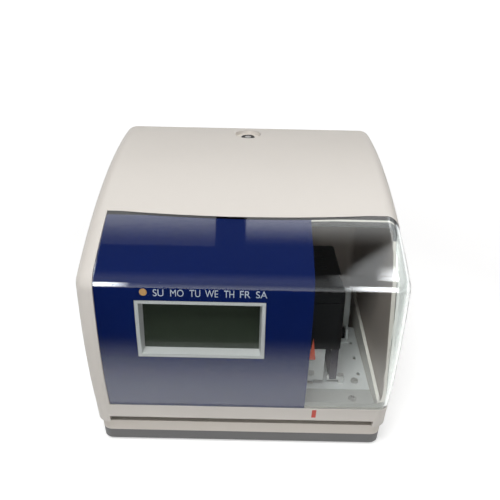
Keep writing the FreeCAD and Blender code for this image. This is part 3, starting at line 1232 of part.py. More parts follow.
def board_parts():
    """Two chips, a tall capacitor, a crystal and a connector on the main board."""
    parts = []
    for i in range(2):
        y = CHIP_Y - CHIP_PITCH * i
        parts.append(block(CHIP_LEFT, CHIP_LEFT + CHIP_LENGTH, y, y + CHIP_WIDTH,
                           BOARD_TOP, BOARD_TOP + CHIP_HEIGHT))
    can = rod(CAPACITOR_X, CAPACITOR_Y, BOARD_TOP, Z_AXIS, CAPACITOR_RADIUS, CAPACITOR_HEIGHT)
    rim = [edge for edge in can.Edges if edge.CenterOfMass.z > BOARD_TOP + CAPACITOR_HEIGHT - MATCH]
    parts.append(can.makeFillet(CAPACITOR_RADIUS / 6, rim))
    parts.append(rod(CHIP_LEFT + CHIP_LENGTH + CRYSTAL_RADIUS, CHIP_Y, BOARD_TOP + CRYSTAL_RADIUS, X_AXIS,
                     CRYSTAL_RADIUS, CRYSTAL_LENGTH))
    header_left = BOARD_LEFT + HEADER_FROM_BOARD_SIDE
    header_front = (STANDOFF_FRONT_Y + BOARD_REAR - STANDOFF_INSET - HEADER_LENGTH) / 2
    parts.append(block(header_left, header_left + HEADER_WIDTH, header_front, header_front + HEADER_LENGTH,
                       BOARD_TOP, BOARD_TOP + HEADER_HEIGHT))
    return parts


def button_places():
    return [BUTTON_LEFT + BUTTON_PITCH * i for i in range(3)]


def switch_bodies():
    bodies = []
    for x in button_places():
        cube = block(x - SWITCH_HALF, x + SWITCH_HALF, BUTTON_Y - SWITCH_HALF, BUTTON_Y + SWITCH_HALF,
                     BOARD_TOP, BOARD_TOP + SWITCH_HEIGHT)
        bodies.append(cube.cut(rod(x, BUTTON_Y, BOARD_TOP - OVERRUN, Z_AXIS, BUTTON_RADIUS + BUTTON_FIT,
                                   OVERRUN * 2)))
    return bodies


def set_button(x):
    low = BOARD_TOP + BUTTON_BOTTOM_GAP
    cap = rod(x, BUTTON_Y, low, Z_AXIS, BUTTON_RADIUS, BUTTON_TOP - low)
    rim = [edge for edge in cap.Edges if edge.CenterOfMass.z > BUTTON_TOP - MATCH]
    return cap.makeFillet(BUTTON_RADIUS / 4, rim)


def backup_battery():
    """Three cells: two side by side on the tray and one lying on them."""
    pitch = CELL_RADIUS * 2 + CELL_GAP
    low = TRAY_FLOOR + CELL_RADIUS + CELL_GAP
    high = low + pitch * math.sqrt(0.75)
    cells = []
    for y, z in ((CELL_FRONT_Y, low), (CELL_FRONT_Y + pitch, low), (CELL_FRONT_Y + pitch / 2, high)):
        cell = rod(CELL_X - CELL_LENGTH / 2, y, z, X_AXIS, CELL_RADIUS, CELL_LENGTH)
        nipple = rod(CELL_X + CELL_LENGTH / 2, y, z, X_AXIS, CELL_NIPPLE_RADIUS, CELL_NIPPLE_HEIGHT)
        cells.append(join([cell, nipple]))
    return cells


os.makedirs("parts", exist_ok=True)
save("top_cover", top_cover())
save("front_window", front_window())
save("blue_panel", blue_panel())
save("lcd_frame", lcd_frame())
save("lcd_panel", lcd_panel())
save("display_board", display_board())
save("display_screws", *display_screws())
save("amber_lens", amber_lens())
save("red_mark", red_mark())
save("lock_barrel", lock_barrel())
save("lock_nut", lock_nut())
save("lock_plug", lock_plug())
save("lock_cam", lock_cam())
save("lock_strike", lock_strike())
save("lower_case", lower_case())
save("base_tray", base_tray())
save("rubber_feet", *rubber_feet())
save("case_screws", *case_screws())
save("power_inlet", power_inlet())
save("deck_plate", deck_plate())
save("deck_screws", *button_head_screws(deck_screw_places(), DECK_TOP))
save("entry_guide", entry_guide())
save("guide_screws", *button_head_screws([(-GUIDE_SCREW_X, GUIDE_SCREW_Y), (GUIDE_SCREW_X, GUIDE_SCREW_Y)],
                                         DECK_BOTTOM + GUIDE_HEIGHT))
save("platen", platen())
save("print_frame", print_frame())
save("guide_shaft", guide_shaft())
save("lead_screw", lead_screw())
save("screw_gear", screw_gear())
save("motor_pinion", motor_pinion())
save("stepper_motor", stepper_motor())
save("motor_bracket", motor_bracket())
save("carriage", carriage())
save("print_head", print_head())
save("ribbon_posts", *ribbon_posts())
save("ink_ribbon", ink_ribbon())
save("ribbon_cartridge", ribbon_cartridge())
save("ribbon_knob", ribbon_knob())
save("print_pointer", print_pointer())
save("trigger_lever", trigger_lever())
save("lever_bracket", lever_bracket())
save("lever_pin", lever_pin())
save("paper_stop", paper_stop())
save("standoffs", *standoffs())
save("main_board", main_board())
save("board_parts", *board_parts())
save("switch_bodies", *switch_bodies())
for node, place in zip(("hour_button", "minute_button", "mode_button"), button_places()):
    save(node, set_button(place))
save("board_screws", *button_head_screws(standoff_places(), BOARD_TOP))
save("backup_battery", *backup_battery())
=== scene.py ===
# %% [markdown]
# # A date and time stamp machine, dressed in Blender
# The CAD model gives every rigid part its shape and its place. This script loads it as a fixed
# frame, gives each part the finish of the real one, and adds the few pieces that are easier to
# make here: printed letters, cross-head screws, the woven ribbon and the legs of the chips.

import math

import bpy
from mathutils import Euler, Matrix, Vector
from mathutils.bvhtree import BVHTree


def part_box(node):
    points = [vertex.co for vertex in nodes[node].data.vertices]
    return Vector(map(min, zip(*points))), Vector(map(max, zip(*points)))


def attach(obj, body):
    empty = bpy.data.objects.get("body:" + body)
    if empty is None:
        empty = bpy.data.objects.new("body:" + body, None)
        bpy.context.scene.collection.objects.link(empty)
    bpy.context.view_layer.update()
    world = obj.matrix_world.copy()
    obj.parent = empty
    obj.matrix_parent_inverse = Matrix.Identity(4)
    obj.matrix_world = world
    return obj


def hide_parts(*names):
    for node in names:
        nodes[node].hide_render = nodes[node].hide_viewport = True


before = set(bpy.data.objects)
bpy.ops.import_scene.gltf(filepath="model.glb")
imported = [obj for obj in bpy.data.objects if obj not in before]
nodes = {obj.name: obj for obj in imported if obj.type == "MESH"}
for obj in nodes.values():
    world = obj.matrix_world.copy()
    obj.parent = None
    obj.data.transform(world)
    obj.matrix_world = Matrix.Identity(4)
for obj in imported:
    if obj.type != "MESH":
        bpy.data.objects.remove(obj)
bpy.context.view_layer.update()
scene = bpy.context.scene
MM = 0.001

# %% [markdown]
# ## Camera
# The photograph was taken from just in front, a little above the top of the machine, looking down
# at 26 degrees. The camera stands there, with the same opening angle and the same slight tilt.

# %% Camera
SENSOR, LENS = 36.0, 43.2
CAMERA_PLACE = Vector((2.6, -298.4, 233.3))
LOOK_DOWN, TILT = 26, 1.2
camera_data = bpy.data.cameras.new("camera")
camera_data.sensor_width = SENSOR
camera_data.lens = LENS
camera_data.clip_start = 0.01
camera = bpy.data.objects.new("camera", camera_data)
scene.collection.objects.link(camera)
camera.location = CAMERA_PLACE * MM
looking_down = Euler((math.radians(90 - LOOK_DOWN), 0, 0)).to_matrix()
tilt = Euler((0, 0, math.radians(TILT))).to_matrix()
camera.rotation_euler = (looking_down @ tilt).to_euler()
scene.camera = camera
print("camera at", tuple(camera.location))

# %% [markdown]
# ## Light
# A photo tent with a pale sky that is stronger overhead than near the horizon, so the top reads
# lighter than the front. What gloss mirrors is set apart with Light Path, because a tent's roof
# is much darker than its white sheet: white near the horizon, dim overhead, with a glow in front
# and a pale card above on the right. Two wide panels behind and above the machine, with a narrow
# gap between them, give the pale bands along the top of the window. They fade towards the front,
# and matt surfaces don't see them. Three small bright patches in the sky give the glints where
# the window bends.

# %% Helpers for nodes
def add_math(tree, links, operation, a, b=None, clamp=False):
    """A Math node whose inputs are sockets or numbers. Returns its output."""
    node = tree.new("ShaderNodeMath")
    node.operation = operation
    node.use_clamp = clamp
    for i, value in enumerate((a, b)):
        if isinstance(value, (int, float)):
            node.inputs[i].default_value = value
        elif value is not None:
            links.new(value, node.inputs[i])
    return node.outputs[0]


def add_vector_math(tree, links, operation, a, b=None):
    """A Vector Math node whose inputs are sockets or vectors. Returns its output."""
    node = tree.new("ShaderNodeVectorMath")
    node.operation = operation
    for i, value in enumerate((a, b)):
        if isinstance(value, bpy.types.NodeSocket):
            links.new(value, node.inputs[i])
        elif value is not None:
            node.inputs[i].default_value = value
    gives_number = operation in ("LENGTH", "DISTANCE", "DOT_PRODUCT")
    return node.outputs["Value" if gives_number else "Vector"]


def map_range(tree, links, value, low, high, at_low=0.0, at_high=1.0, way="LINEAR"):
    """A Map Range node that takes low to at_low and high to at_high. Returns its output."""
    node = tree.new("ShaderNodeMapRange")
    node.interpolation_type = way
    for label, number in (("From Min", low), ("From Max", high), ("To Min", at_low), ("To Max", at_high)):
        node.inputs[label].default_value = number
    links.new(value, node.inputs["Value"])
    return node.outputs["Result"]


def mix_colour(tree, links, mask, under, over):
    """Two colours, as sockets or as red, green and blue, mixed by a mask. Returns the output."""
    node = tree.new("ShaderNodeMix")
    node.data_type = "RGBA"
    links.new(mask, node.inputs["Factor"])
    for label, colour in (("A", under), ("B", over)):
        if isinstance(colour, tuple):
            node.inputs[label].default_value = colour + (1,)
        else:
            links.new(colour, node.inputs[label])
    return node.outputs["Result"]


def add_noise(tree, links, place, scale, detail=2.0):
    """A Noise Texture at a place. Its scale is a number or a socket. Returns the node."""
    node = tree.new("ShaderNodeTexNoise")
    node.inputs["Detail"].default_value = detail
    links.new(place, node.inputs["Vector"])
    if isinstance(scale, float):
        node.inputs["Scale"].default_value = scale
    else:
        links.new(scale, node.inputs["Scale"])
    return node


def object_place(tree):
    """The Object coordinates as one vector."""
    return tree.new("ShaderNodeTexCoord").outputs["Object"]


def xyz_of(tree, links, vector):
    """The three parts X, Y and Z of a vector, by name."""
    node = tree.new("ShaderNodeSeparateXYZ")
    links.new(vector, node.inputs[0])
    return node.outputs


def new_material(name):
    """A material, its nodes, its links and its Principled shader."""
    material = bpy.data.materials.new(name)
    material.use_nodes = True
    tree = material.node_tree
    return material, tree.nodes, tree.links, tree.nodes["Principled BSDF"]


def set_inputs(node, values):
    """Sets a node's inputs from a dictionary of names and values."""
    for label, value in values.items():
        node.inputs[label].default_value = value


# %% Sky
WARM_WHITE, COOL_WHITE, PLAIN_WHITE = (1.0, 0.985, 0.965, 1), (0.95, 0.97, 1.0, 1), (1, 1, 1, 1)
PATCH_EDGE = 0.02
GLINTS = ((-0.27, -0.215, -0.985, -0.88, 16.0), (0.175, 0.26, -0.98, -0.86, 14.0),
          (0.225, 0.34, -0.35, 0.17, 14.0))
world = bpy.data.worlds.new("tent")
scene.world = world
world.use_nodes = True
sky_nodes, sky_links = world.node_tree.nodes, world.node_tree.links
direction = xyz_of(sky_nodes, sky_links, sky_nodes.new("ShaderNodeTexCoord").outputs["Generated"])


def sky_math(operation, a, b):
    return add_math(sky_nodes, sky_links, operation, a, b)


def sky_ramp(value, low, high, at_low=0.0, at_high=1.0):
    """A value that changes as one part of the direction, or a socket, goes from low to high."""
    socket = direction[value] if isinstance(value, str) else value
    return map_range(sky_nodes, sky_links, socket, low, high, at_low, at_high)


def patch(left, right, front, rear, strength):
    """A bright patch overhead or in front, between two parts of the direction in X and two in Y."""
    mask = sky_ramp("Z", 0.0, PATCH_EDGE)
    for axis, start, end in (("X", left, right), ("Y", front, rear)):
        for edge, way in ((start, PATCH_EDGE), (end, -PATCH_EDGE)):
            mask = sky_math("MULTIPLY", mask, sky_ramp(axis, edge - way, edge + way))
    return sky_math("MULTIPLY", mask, strength)


def sky_layer(strength, colour):
    layer = sky_nodes.new("ShaderNodeBackground")
    layer.inputs["Color"].default_value = colour
    if isinstance(strength, float):
        layer.inputs["Strength"].default_value = strength
    else:
        sky_links.new(strength, layer.inputs["Strength"])
    return layer.outputs["Background"]


def choose(mask, off, on):
    mix = sky_nodes.new("ShaderNodeMixShader")
    sky_links.new(mask, mix.inputs["Fac"])
    sky_links.new(off, mix.inputs[1])
    sky_links.new(on, mix.inputs[2])
    return mix.outputs["Shader"]


lighting = sky_layer(sky_ramp("Z", 0.0, 0.9, 0.13, 0.20), WARM_WHITE)
glow = sky_math("MULTIPLY", sky_ramp("Y", 0.10, -0.60), 0.30)
slant = sky_math("SUBTRACT", sky_math("MULTIPLY", direction["X"], 2.2), direction["Y"])
pale_card = sky_math("MULTIPLY", sky_ramp(slant, 0.17, 0.23), sky_ramp("X", 0.125, 0.165))
pale_card = sky_math("MULTIPLY", pale_card, sky_ramp("Z", 0.35, 0.55))
pale_card = sky_math("MULTIPLY", pale_card, 1.5)
mirrored = sky_math("ADD", sky_ramp("Z", 0.03, 0.40, 0.95, 0.04), sky_math("MAXIMUM", glow, pale_card))
for glint in GLINTS:
    mirrored = sky_math("ADD", mirrored, patch(*glint))
ray = sky_nodes.new("ShaderNodeLightPath")
shiny = sky_math("MAXIMUM", ray.outputs["Is Glossy Ray"], ray.outputs["Is Transmission Ray"])
seen_by_things = choose(shiny, lighting, sky_layer(mirrored, COOL_WHITE))
surface = choose(ray.outputs["Is Camera Ray"], seen_by_things, sky_layer(1.0, PLAIN_WHITE))
sky_links.new(surface, sky_nodes["World Output"].inputs["Surface"])
print("sky nodes:", len(sky_nodes))


# %% Lamps
PANEL_Y, PANEL_Z, PANEL_AIM_Y = 0.50, 1.10, 0.15
PANEL_WIDTH, PANEL_DEPTH = 0.62, 0.50


def panel_lamp(name, place, target, width, depth, watts):
    """A soft rectangular lamp that faces a point."""
    data = bpy.data.lights.new(name, "AREA")
    data.shape = "RECTANGLE"
    data.size, data.size_y = width, depth
    data.energy = watts
    lamp = bpy.data.objects.new(name, data)
    scene.collection.objects.link(lamp)
    lamp.location = place
    lamp.rotation_euler = (Vector(target) - Vector(place)).to_track_quat("-Z", "Y").to_euler()
    return lamp


def back_panel(name, x, watts, at_rear, at_front):
    """A panel above and behind that gets weaker to its front edge and that only gloss mirrors."""
    lamp = panel_lamp(name, (x, PANEL_Y, PANEL_Z), (x, PANEL_AIM_Y, 0.0), PANEL_WIDTH, PANEL_DEPTH, watts)
    lamp.visible_diffuse = False
    lamp.data.use_nodes = True
    tree, links = lamp.data.node_tree.nodes, lamp.data.node_tree.links
    on_panel = xyz_of(tree, links, tree.new("ShaderNodeNewGeometry").outputs["Parametric"])
    strength = map_range(tree, links, on_panel["Y"], 0.0, 1.0, at_rear, at_front, "SMOOTHSTEP")
    links.new(strength, tree["Emission"].inputs["Strength"])


back_panel("back_panel_left", -0.388, 0.55, 6.2, 0.3)
back_panel("back_panel_right", 0.302, 0.85, 5.9, 0.0)
overhead = panel_lamp("overhead_front", (-0.12, -0.50, 1.05), (0.02, 0, 0.05), 0.45, 0.40, 8.8)
front_fill = panel_lamp("front_fill", (0.10, -1.00, 0.34), (0.02, 0, 0.07), 0.50, 0.45, 0.95)
for lamp in (overhead, front_fill):
    lamp.visible_glossy = lamp.visible_transmission = False

# %% [markdown]
# ## Floor
# The machine stands on a plain white sheet. A share of its white is given out to the rays that
# look at it or mirror it, and the rest is lit, so the sheet reads white and keeps a soft shadow.
# In front, outside the picture, lies a dark card that only mirrors see: the glossy window shows
# it as the deep tone in the middle of its face, and the sheet as the grey sheen at its foot.

# %% Floor
SHEET_REACH = 6
CARD_SIDE, CARD_FRONT, CARD_REAR, CARD_LEVEL = 1.2, -1.6, -0.075, 0.0005
CARD_FADE = (-0.085, -0.155)


def put_down():
    """Bakes the active object's place, turn and scale into its mesh."""
    bpy.ops.object.transform_apply(location=True, rotation=True, scale=True)


def flat_sheet(name, x0, x1, y0, y1, z):
    bpy.ops.object.select_all(action="DESELECT")
    bpy.ops.mesh.primitive_plane_add(size=1.0, location=((x0 + x1) / 2, (y0 + y1) / 2, z))
    sheet = bpy.context.active_object
    sheet.name = name
    sheet.scale = (x1 - x0, y1 - y0, 1)
    put_down()
    return sheet


floor = flat_sheet("floor", -SHEET_REACH, SHEET_REACH, -SHEET_REACH, SHEET_REACH, 0)
floor_paint, tree, links, paper = new_material("floor_white")
set_inputs(paper, {"Base Color": (0.70, 0.70, 0.70, 1), "Roughness": 0.9, "Specular IOR Level": 0.0,
                   "Emission Color": (1, 1, 1, 1)})
ray = tree.new("ShaderNodeLightPath")
looking = add_math(tree, links, "MAXIMUM", ray.outputs["Is Camera Ray"], ray.outputs["Is Transmission Ray"])
looking = add_math(tree, links, "MAXIMUM", looking, ray.outputs["Is Glossy Ray"])
far = add_vector_math(tree, links, "LENGTH", object_place(tree))
share = map_range(tree, links, far, 0.25, 0.9, 0.55, 1.0)
links.new(add_math(tree, links, "MULTIPLY", looking, share), paper.inputs["Emission Strength"])
floor.data.materials.append(floor_paint)

card = flat_sheet("dark_card", -CARD_SIDE, CARD_SIDE, CARD_FRONT, CARD_REAR, CARD_LEVEL)
card.visible_camera = card.visible_diffuse = card.visible_shadow = False
card_paint, tree, links, matt = new_material("dark_card")
set_inputs(matt, {"Base Color": (0.006, 0.006, 0.008, 1), "Specular IOR Level": 0.0})
on_card = xyz_of(tree, links, object_place(tree))
fade = map_range(tree, links, on_card["Y"], *CARD_FADE, way="SMOOTHSTEP")
see_through = tree.new("ShaderNodeBsdfTransparent")
blend = tree.new("ShaderNodeMixShader")
links.new(fade, blend.inputs["Fac"])
links.new(see_through.outputs["BSDF"], blend.inputs[1])
links.new(matt.outputs["BSDF"], blend.inputs[2])
links.new(blend.outputs["Shader"], tree["Material Output"].inputs["Surface"])
card.data.materials.append(card_paint)
print("stage:", floor.name, card.name)


# %% [markdown]
# ## Shared effects
# Moulded plastic, sheet metal and rubber all have a fine surface, a slight unevenness of colour
# and edges that are a little worn. Each effect is a node group with its own inputs, so that every
# material can use it at its own scale. All of them read Object coordinates, in metres.

# %% Helpers for node groups
def new_group(name, inputs, outputs):
    """A shader node group with named sockets. Inputs are (name, kind, value)."""
    group = bpy.data.node_groups.new(name, "ShaderNodeTree")
    for label, kind, value in inputs:
        socket = group.interface.new_socket(label, in_out="INPUT", socket_type=kind)
        socket.default_value = value
    for label, kind in outputs:
        group.interface.new_socket(label, in_out="OUTPUT", socket_type=kind)
    start = group.nodes.new("NodeGroupInput")
    end = group.nodes.new("NodeGroupOutput")
    return group, group.nodes, group.links, start, end


# %% Group: moulded grain
grain, tree, links, start, end = new_group(
    "moulded_grain",
    [("Size", "NodeSocketFloat", 0.0004), ("Unevenness", "NodeSocketFloat", 0.5)],
    [("Height", "NodeSocketFloat"), ("Tone", "NodeSocketFloat")])
density = add_math(tree, links, "DIVIDE", 1.0, start.outputs["Size"])
fine = add_noise(tree, links, object_place(tree), density, 3.0)
coarse = add_noise(tree, links, object_place(tree), 35.0, 4.0)
links.new(fine.outputs["Fac"], end.inputs["Height"])
centred = add_math(tree, links, "SUBTRACT", coarse.outputs["Fac"], 0.5)
spread = add_math(tree, links, "MULTIPLY", centred, start.outputs["Unevenness"])
links.new(add_math(tree, links, "ADD", spread, 0.5), end.inputs["Tone"])

# %% Group: worn edges
wear, tree, links, start, end = new_group(
    "worn_edges",
    [("Width", "NodeSocketFloat", 0.0008), ("Amount", "NodeSocketFloat", 0.5)],
    [("Mask", "NodeSocketFloat")])
rounded = tree.new("ShaderNodeBevel")
rounded.samples = 4
links.new(start.outputs["Width"], rounded.inputs["Radius"])
plain = tree.new("ShaderNodeNewGeometry")
turned = add_vector_math(tree, links, "DOT_PRODUCT", rounded.outputs["Normal"], plain.outputs["Normal"])
edge = map_range(tree, links, turned, 0.985, 0.85)
spots = add_noise(tree, links, object_place(tree), 320.0, 3.0)
rubbed = map_range(tree, links, spots.outputs["Fac"], 0.42, 0.62)
both = add_math(tree, links, "MULTIPLY", edge, rubbed)
links.new(add_math(tree, links, "MULTIPLY", both, start.outputs["Amount"], True), end.inputs["Mask"])

# %% Group: brushed lines
brushed, tree, links, start, end = new_group(
    "brushed_lines",
    [("Along", "NodeSocketVector", (40.0, 2500.0, 2500.0))],
    [("Height", "NodeSocketFloat")])
stretched = add_vector_math(tree, links, "MULTIPLY", object_place(tree), start.outputs["Along"])
streaks = add_noise(tree, links, stretched, 1.0, 4.0)
links.new(streaks.outputs["Fac"], end.inputs["Height"])
print("groups:", [g.name for g in bpy.data.node_groups])


# %% [markdown]
# ## Finishes
# One function lays down the parts that every finish shares: a base colour with a slight tone, a
# lighter worn edge, a roughness that varies, and a bump. Each finish below calls it with the
# values of its own material, and changes what is special to it.

# %% A finish from the shared effects
EDGE_WIDTH = 0.6
ROUGH_SPREAD = 0.07


def place_group(material, group, **values):
    node = material.node_tree.nodes.new("ShaderNodeGroup")
    node.node_tree = group
    set_inputs(node, values)
    return node


def finish(name, colour, rough, grain_size=0.4, bump=0.02, tone=0.06, worn=None, worn_amount=0.5,
           metal=0.0, lines=None, specular=0.5):
    """A Principled material with grain or brushed lines, tone, worn edges and varied roughness.

    The grain's size and the bump are in mm. Lines are given as their density along X, Y and Z.
    """
    material, tree, links, shader = new_material(name)
    set_inputs(shader, {"Metallic": metal, "Specular IOR Level": specular})
    texture = place_group(material, grain, Size=grain_size * MM, Unevenness=1.0)
    height = texture.outputs["Height"]
    if lines:
        height = place_group(material, brushed, Along=lines).outputs["Height"]
    darker = tuple(c * (1 - tone) for c in colour)
    lighter = tuple(min(1.0, c * (1 + tone)) for c in colour)
    shade = mix_colour(tree, links, texture.outputs["Tone"], darker, lighter)
    edges = place_group(material, wear, Width=EDGE_WIDTH * MM, Amount=worn_amount)
    rub = worn or tuple(min(1.0, c * 1.25 + 0.03) for c in colour)
    links.new(mix_colour(tree, links, edges.outputs["Mask"], shade, rub), shader.inputs["Base Color"])
    smoothest, roughest = max(0.02, rough - ROUGH_SPREAD), min(1.0, rough + ROUGH_SPREAD)
    gloss = map_range(tree, links, height, 0.0, 1.0, smoothest, roughest)
    links.new(gloss, shader.inputs["Roughness"])
    relief = tree.new("ShaderNodeBump")
    set_inputs(relief, {"Strength": 1.0, "Distance": bump * MM})
    links.new(height, relief.inputs["Height"])
    links.new(relief.outputs["Normal"], shader.inputs["Normal"])
    return material


def dress(material, *names):
    """Gives CAD nodes a material of their own in place of the imported one."""
    for name in names:
        mesh = nodes[name].data
        mesh.materials.clear()
        mesh.materials.append(material)
    return material


BEIGE = (0.745, 0.705, 0.655)
BEIGE_CASE = (0.740, 0.690, 0.625)
DARK_GREY = (0.145, 0.145, 0.145)
STEEL = (0.62, 0.62, 0.61)
ZINC = (0.82, 0.84, 0.85)
BLACK = (0.009, 0.009, 0.010)
WHITE = (0.78, 0.78, 0.76)
NEAR_BLACK = (0.025, 0.023, 0.021)


# %% Masks by place
def combine(material, operation, *masks):
    """Several masks into one: MULTIPLY keeps what all of them have, MAXIMUM what any of them has."""
    result = masks[0]
    for mask in masks[1:]:
        result = add_math(material.node_tree.nodes, material.node_tree.links, operation, result, mask)
    return result


def place_xyz(material):
    tree = material.node_tree
    return xyz_of(tree.nodes, tree.links, object_place(tree.nodes))


def normal_xyz(material):
    tree = material.node_tree
    return xyz_of(tree.nodes, tree.links, tree.nodes.new("ShaderNodeNewGeometry").outputs["Normal"])


def between(material, parts, unit, limits):
    """1 where each named part lies between its limits. None stands for no limit."""
    t, l = material.node_tree.nodes, material.node_tree.links
    tests = []
    for axis, ends in limits.items():
        for operation, end in zip(("GREATER_THAN", "LESS_THAN"), ends):
            if end is not None:
                tests.append(add_math(t, l, operation, parts[axis], end * unit))
    return combine(material, "MULTIPLY", *tests)


def within(material, **limits):
    """A mask by place, with limits in mm."""
    return between(material, place_xyz(material), MM, limits)


def facing(material, **limits):
    """A mask by the way a face looks, with limits for the parts of its normal."""
    return between(material, normal_xyz(material), 1.0, limits)


def axis_distance(material, centre, keep):
    """Distance from a line: centre is a point on it in mm, keep masks out the line's direction."""
    t, l = material.node_tree.nodes, material.node_tree.links
    away = add_vector_math(t, l, "SUBTRACT", object_place(t), Vector(centre) * MM)
    return add_vector_math(t, l, "LENGTH", add_vector_math(t, l, "MULTIPLY", away, keep))


def recolour(material, mask, colour, metal=False):
    """Lays one more colour over what feeds Base Color, where the mask is 1."""
    t, l = material.node_tree.nodes, material.node_tree.links
    shader = t["Principled BSDF"]
    under = shader.inputs["Base Color"].links[0].from_socket
    l.new(mix_colour(t, l, mask, under, colour), shader.inputs["Base Color"])
    if metal:
        l.new(mask, shader.inputs["Metallic"])


# %% [markdown]
# ## Plastics
# The cover is a satin beige moulding with a spark-eroded texture of about a third of a
# millimetre. Its inside is painted a darker brown-grey as painted shade, which is what shows as
# a dark cave behind the clear part of the window. This painted shade is masked by the way a face
# looks: inner faces face the middle of the machine. Near-black painted shade fills the step above
# the window, and the narrow seat under the foot of its clear part is painted grey as shade. The
# fins of the lower case inside are painted paler, as painted light.

# %% Cover and case
LOOKS_INWARD, ROOF_LEVEL, REAR_START, SKIRT_TOP = -0.012, 90, 62, 18
STEP_FRONT, STEP_REAR, STEP_LEVEL = -48, 0, 112
FIN_INNER, FIN_OUTER, FIN_FOOT = 69.7, 71.8, 22
cover_plastic = finish("beige_cover", BEIGE, 0.46, 0.35, 0.010, 0.02, worn=(0.84, 0.80, 0.75),
                       worn_amount=0.35)
# Painted shade: inner faces above the skirt are darkened to brown-grey, for the dim inside seen through the
# window.
across = combine(cover_plastic, "MULTIPLY", place_xyz(cover_plastic)["X"], normal_xyz(cover_plastic)["X"])
side_wall = combine(cover_plastic, "LESS_THAN", across, LOOKS_INWARD)
roof = combine(cover_plastic, "MULTIPLY", facing(cover_plastic, Z=(None, -0.25)),
               within(cover_plastic, Z=(ROOF_LEVEL, None)))
rear_wall = combine(cover_plastic, "MULTIPLY", facing(cover_plastic, Y=(None, -0.35)),
                    within(cover_plastic, Y=(REAR_START, None)))
painted_shade_inside = combine(cover_plastic, "MAXIMUM", side_wall, roof, rear_wall)
above_skirt = within(cover_plastic, Z=(SKIRT_TOP, None))
recolour(cover_plastic, combine(cover_plastic, "MULTIPLY", painted_shade_inside, above_skirt), (0.66, 0.57, 0.52))
# Painted shade: the step above the window is near-black, for the dark shadow line along the window's top
# edge.
head_wall = combine(cover_plastic, "MULTIPLY", facing(cover_plastic, Y=(None, -0.80)),
                    within(cover_plastic, Y=(STEP_FRONT, STEP_REAR), Z=(STEP_LEVEL, None)))
recolour(cover_plastic, head_wall, (0.035, 0.034, 0.034))
# Painted shade: the seat under the foot of the clear part is grey, which dulls the bright line there.
foot_seat = within(cover_plastic, X=(31.6, None), Y=(-60.4, -56.0), Z=(30.1, 33.0))
recolour(cover_plastic, foot_seat, (0.30, 0.30, 0.285))
dress(cover_plastic, "top_cover")

case_plastic = finish("beige_case", BEIGE_CASE, 0.48, 0.35, 0.010, 0.025, worn=(0.82, 0.78, 0.72),
                      worn_amount=0.35)
# Painted light: the fins inside are paler than the case, as if lit more strongly.
right_fin = within(case_plastic, X=(FIN_INNER, FIN_OUTER))
left_fin = within(case_plastic, X=(-FIN_OUTER, -FIN_INNER))
fins_painted_light = combine(case_plastic, "MULTIPLY", combine(case_plastic, "MAXIMUM", left_fin, right_fin),
               within(case_plastic, Z=(FIN_FOOT, None)))
recolour(case_plastic, fins_painted_light, (0.92, 0.89, 0.83))
dress(case_plastic, "lower_case")
print("cover nodes:", len(cover_plastic.node_tree.nodes), "case nodes:", len(case_plastic.node_tree.nodes))

# %% Small plastic parts and rubber
dress(finish("guide_grey", (0.36, 0.36, 0.35), 0.5, 0.35, 0.010, 0.03), "entry_guide")
dress(finish("grey_tray", DARK_GREY, 0.5, 0.4, 0.020, 0.05, worn=(0.30, 0.30, 0.31)), "base_tray")
dress(finish("black_moulding", BLACK, 0.50, 0.4, 0.015, 0.10, worn=(0.06, 0.06, 0.062), worn_amount=0.6,
             specular=0.2),
      "ribbon_cartridge", "carriage", "trigger_lever", "power_inlet", "switch_bodies")
dress(finish("white_moulding", WHITE, 0.42, 0.4, 0.008, 0.03),
      "screw_gear", "ribbon_knob", "paper_stop", "hour_button", "minute_button", "mode_button")
dress(finish("rubber", (0.022, 0.022, 0.023), 0.85, 0.5, 0.03, 0.10, worn=(0.05, 0.05, 0.05)),
      "rubber_feet", "platen")
print("materials:", len(bpy.data.materials))

# %% [markdown]
# ## Metals
# Deck, brackets and the motor can are zinc plated sheet, with the fine lines of rolling. Shaft,
# screw and pins are turned steel. The lock has a bright face, with its rim painted near-black as
# painted shade of the groove round the plug, in a black ring.

# %% Metal parts
RIM_SHADE_RADIUS = 1.95
dress(finish("zinc_sheet", ZINC, 0.46, 0.6, 0.006, 0.07, worn=(0.72, 0.73, 0.74), metal=0.35,
             lines=(30.0, 1800.0, 1800.0)),
      "deck_plate", "print_frame", "lever_bracket", "lock_strike", "motor_bracket", "stepper_motor")
dress(finish("turned_steel", STEEL, 0.28, 0.5, 0.004, 0.05, worn=(0.75, 0.75, 0.75), metal=0.6,
             lines=(30.0, 3000.0, 30.0)),
      "guide_shaft", "lead_screw", "lever_pin", "ribbon_posts", "lock_cam", "case_screws", "display_screws")
dress(finish("lock_ring", (0.020, 0.019, 0.018), 0.35, 0.5, 0.004, 0.06, worn=(0.05, 0.05, 0.05),
             worn_amount=0.6, metal=0.3, lines=(400.0, 400.0, 3000.0)),
      "lock_barrel")
dress(finish("brass_turned", (0.62, 0.44, 0.17), 0.30, 0.5, 0.004, 0.08, worn=(0.80, 0.66, 0.36), metal=1.0,
             lines=(1500.0, 40.0, 1500.0)),
      "standoffs", "motor_pinion", "lock_nut")
dress(finish("cast_aluminium", (0.60, 0.60, 0.61), 0.42, 0.3, 0.012, 0.08, worn=(0.75, 0.75, 0.76),
             metal=1.0),
      "print_head")

lock_face = dress(finish("lock_face", (0.80, 0.79, 0.77), 0.40, 0.4, 0.004, 0.06, worn=(0.85, 0.85, 0.85),
                         worn_amount=0.6, metal=0.35),
                  "lock_plug")
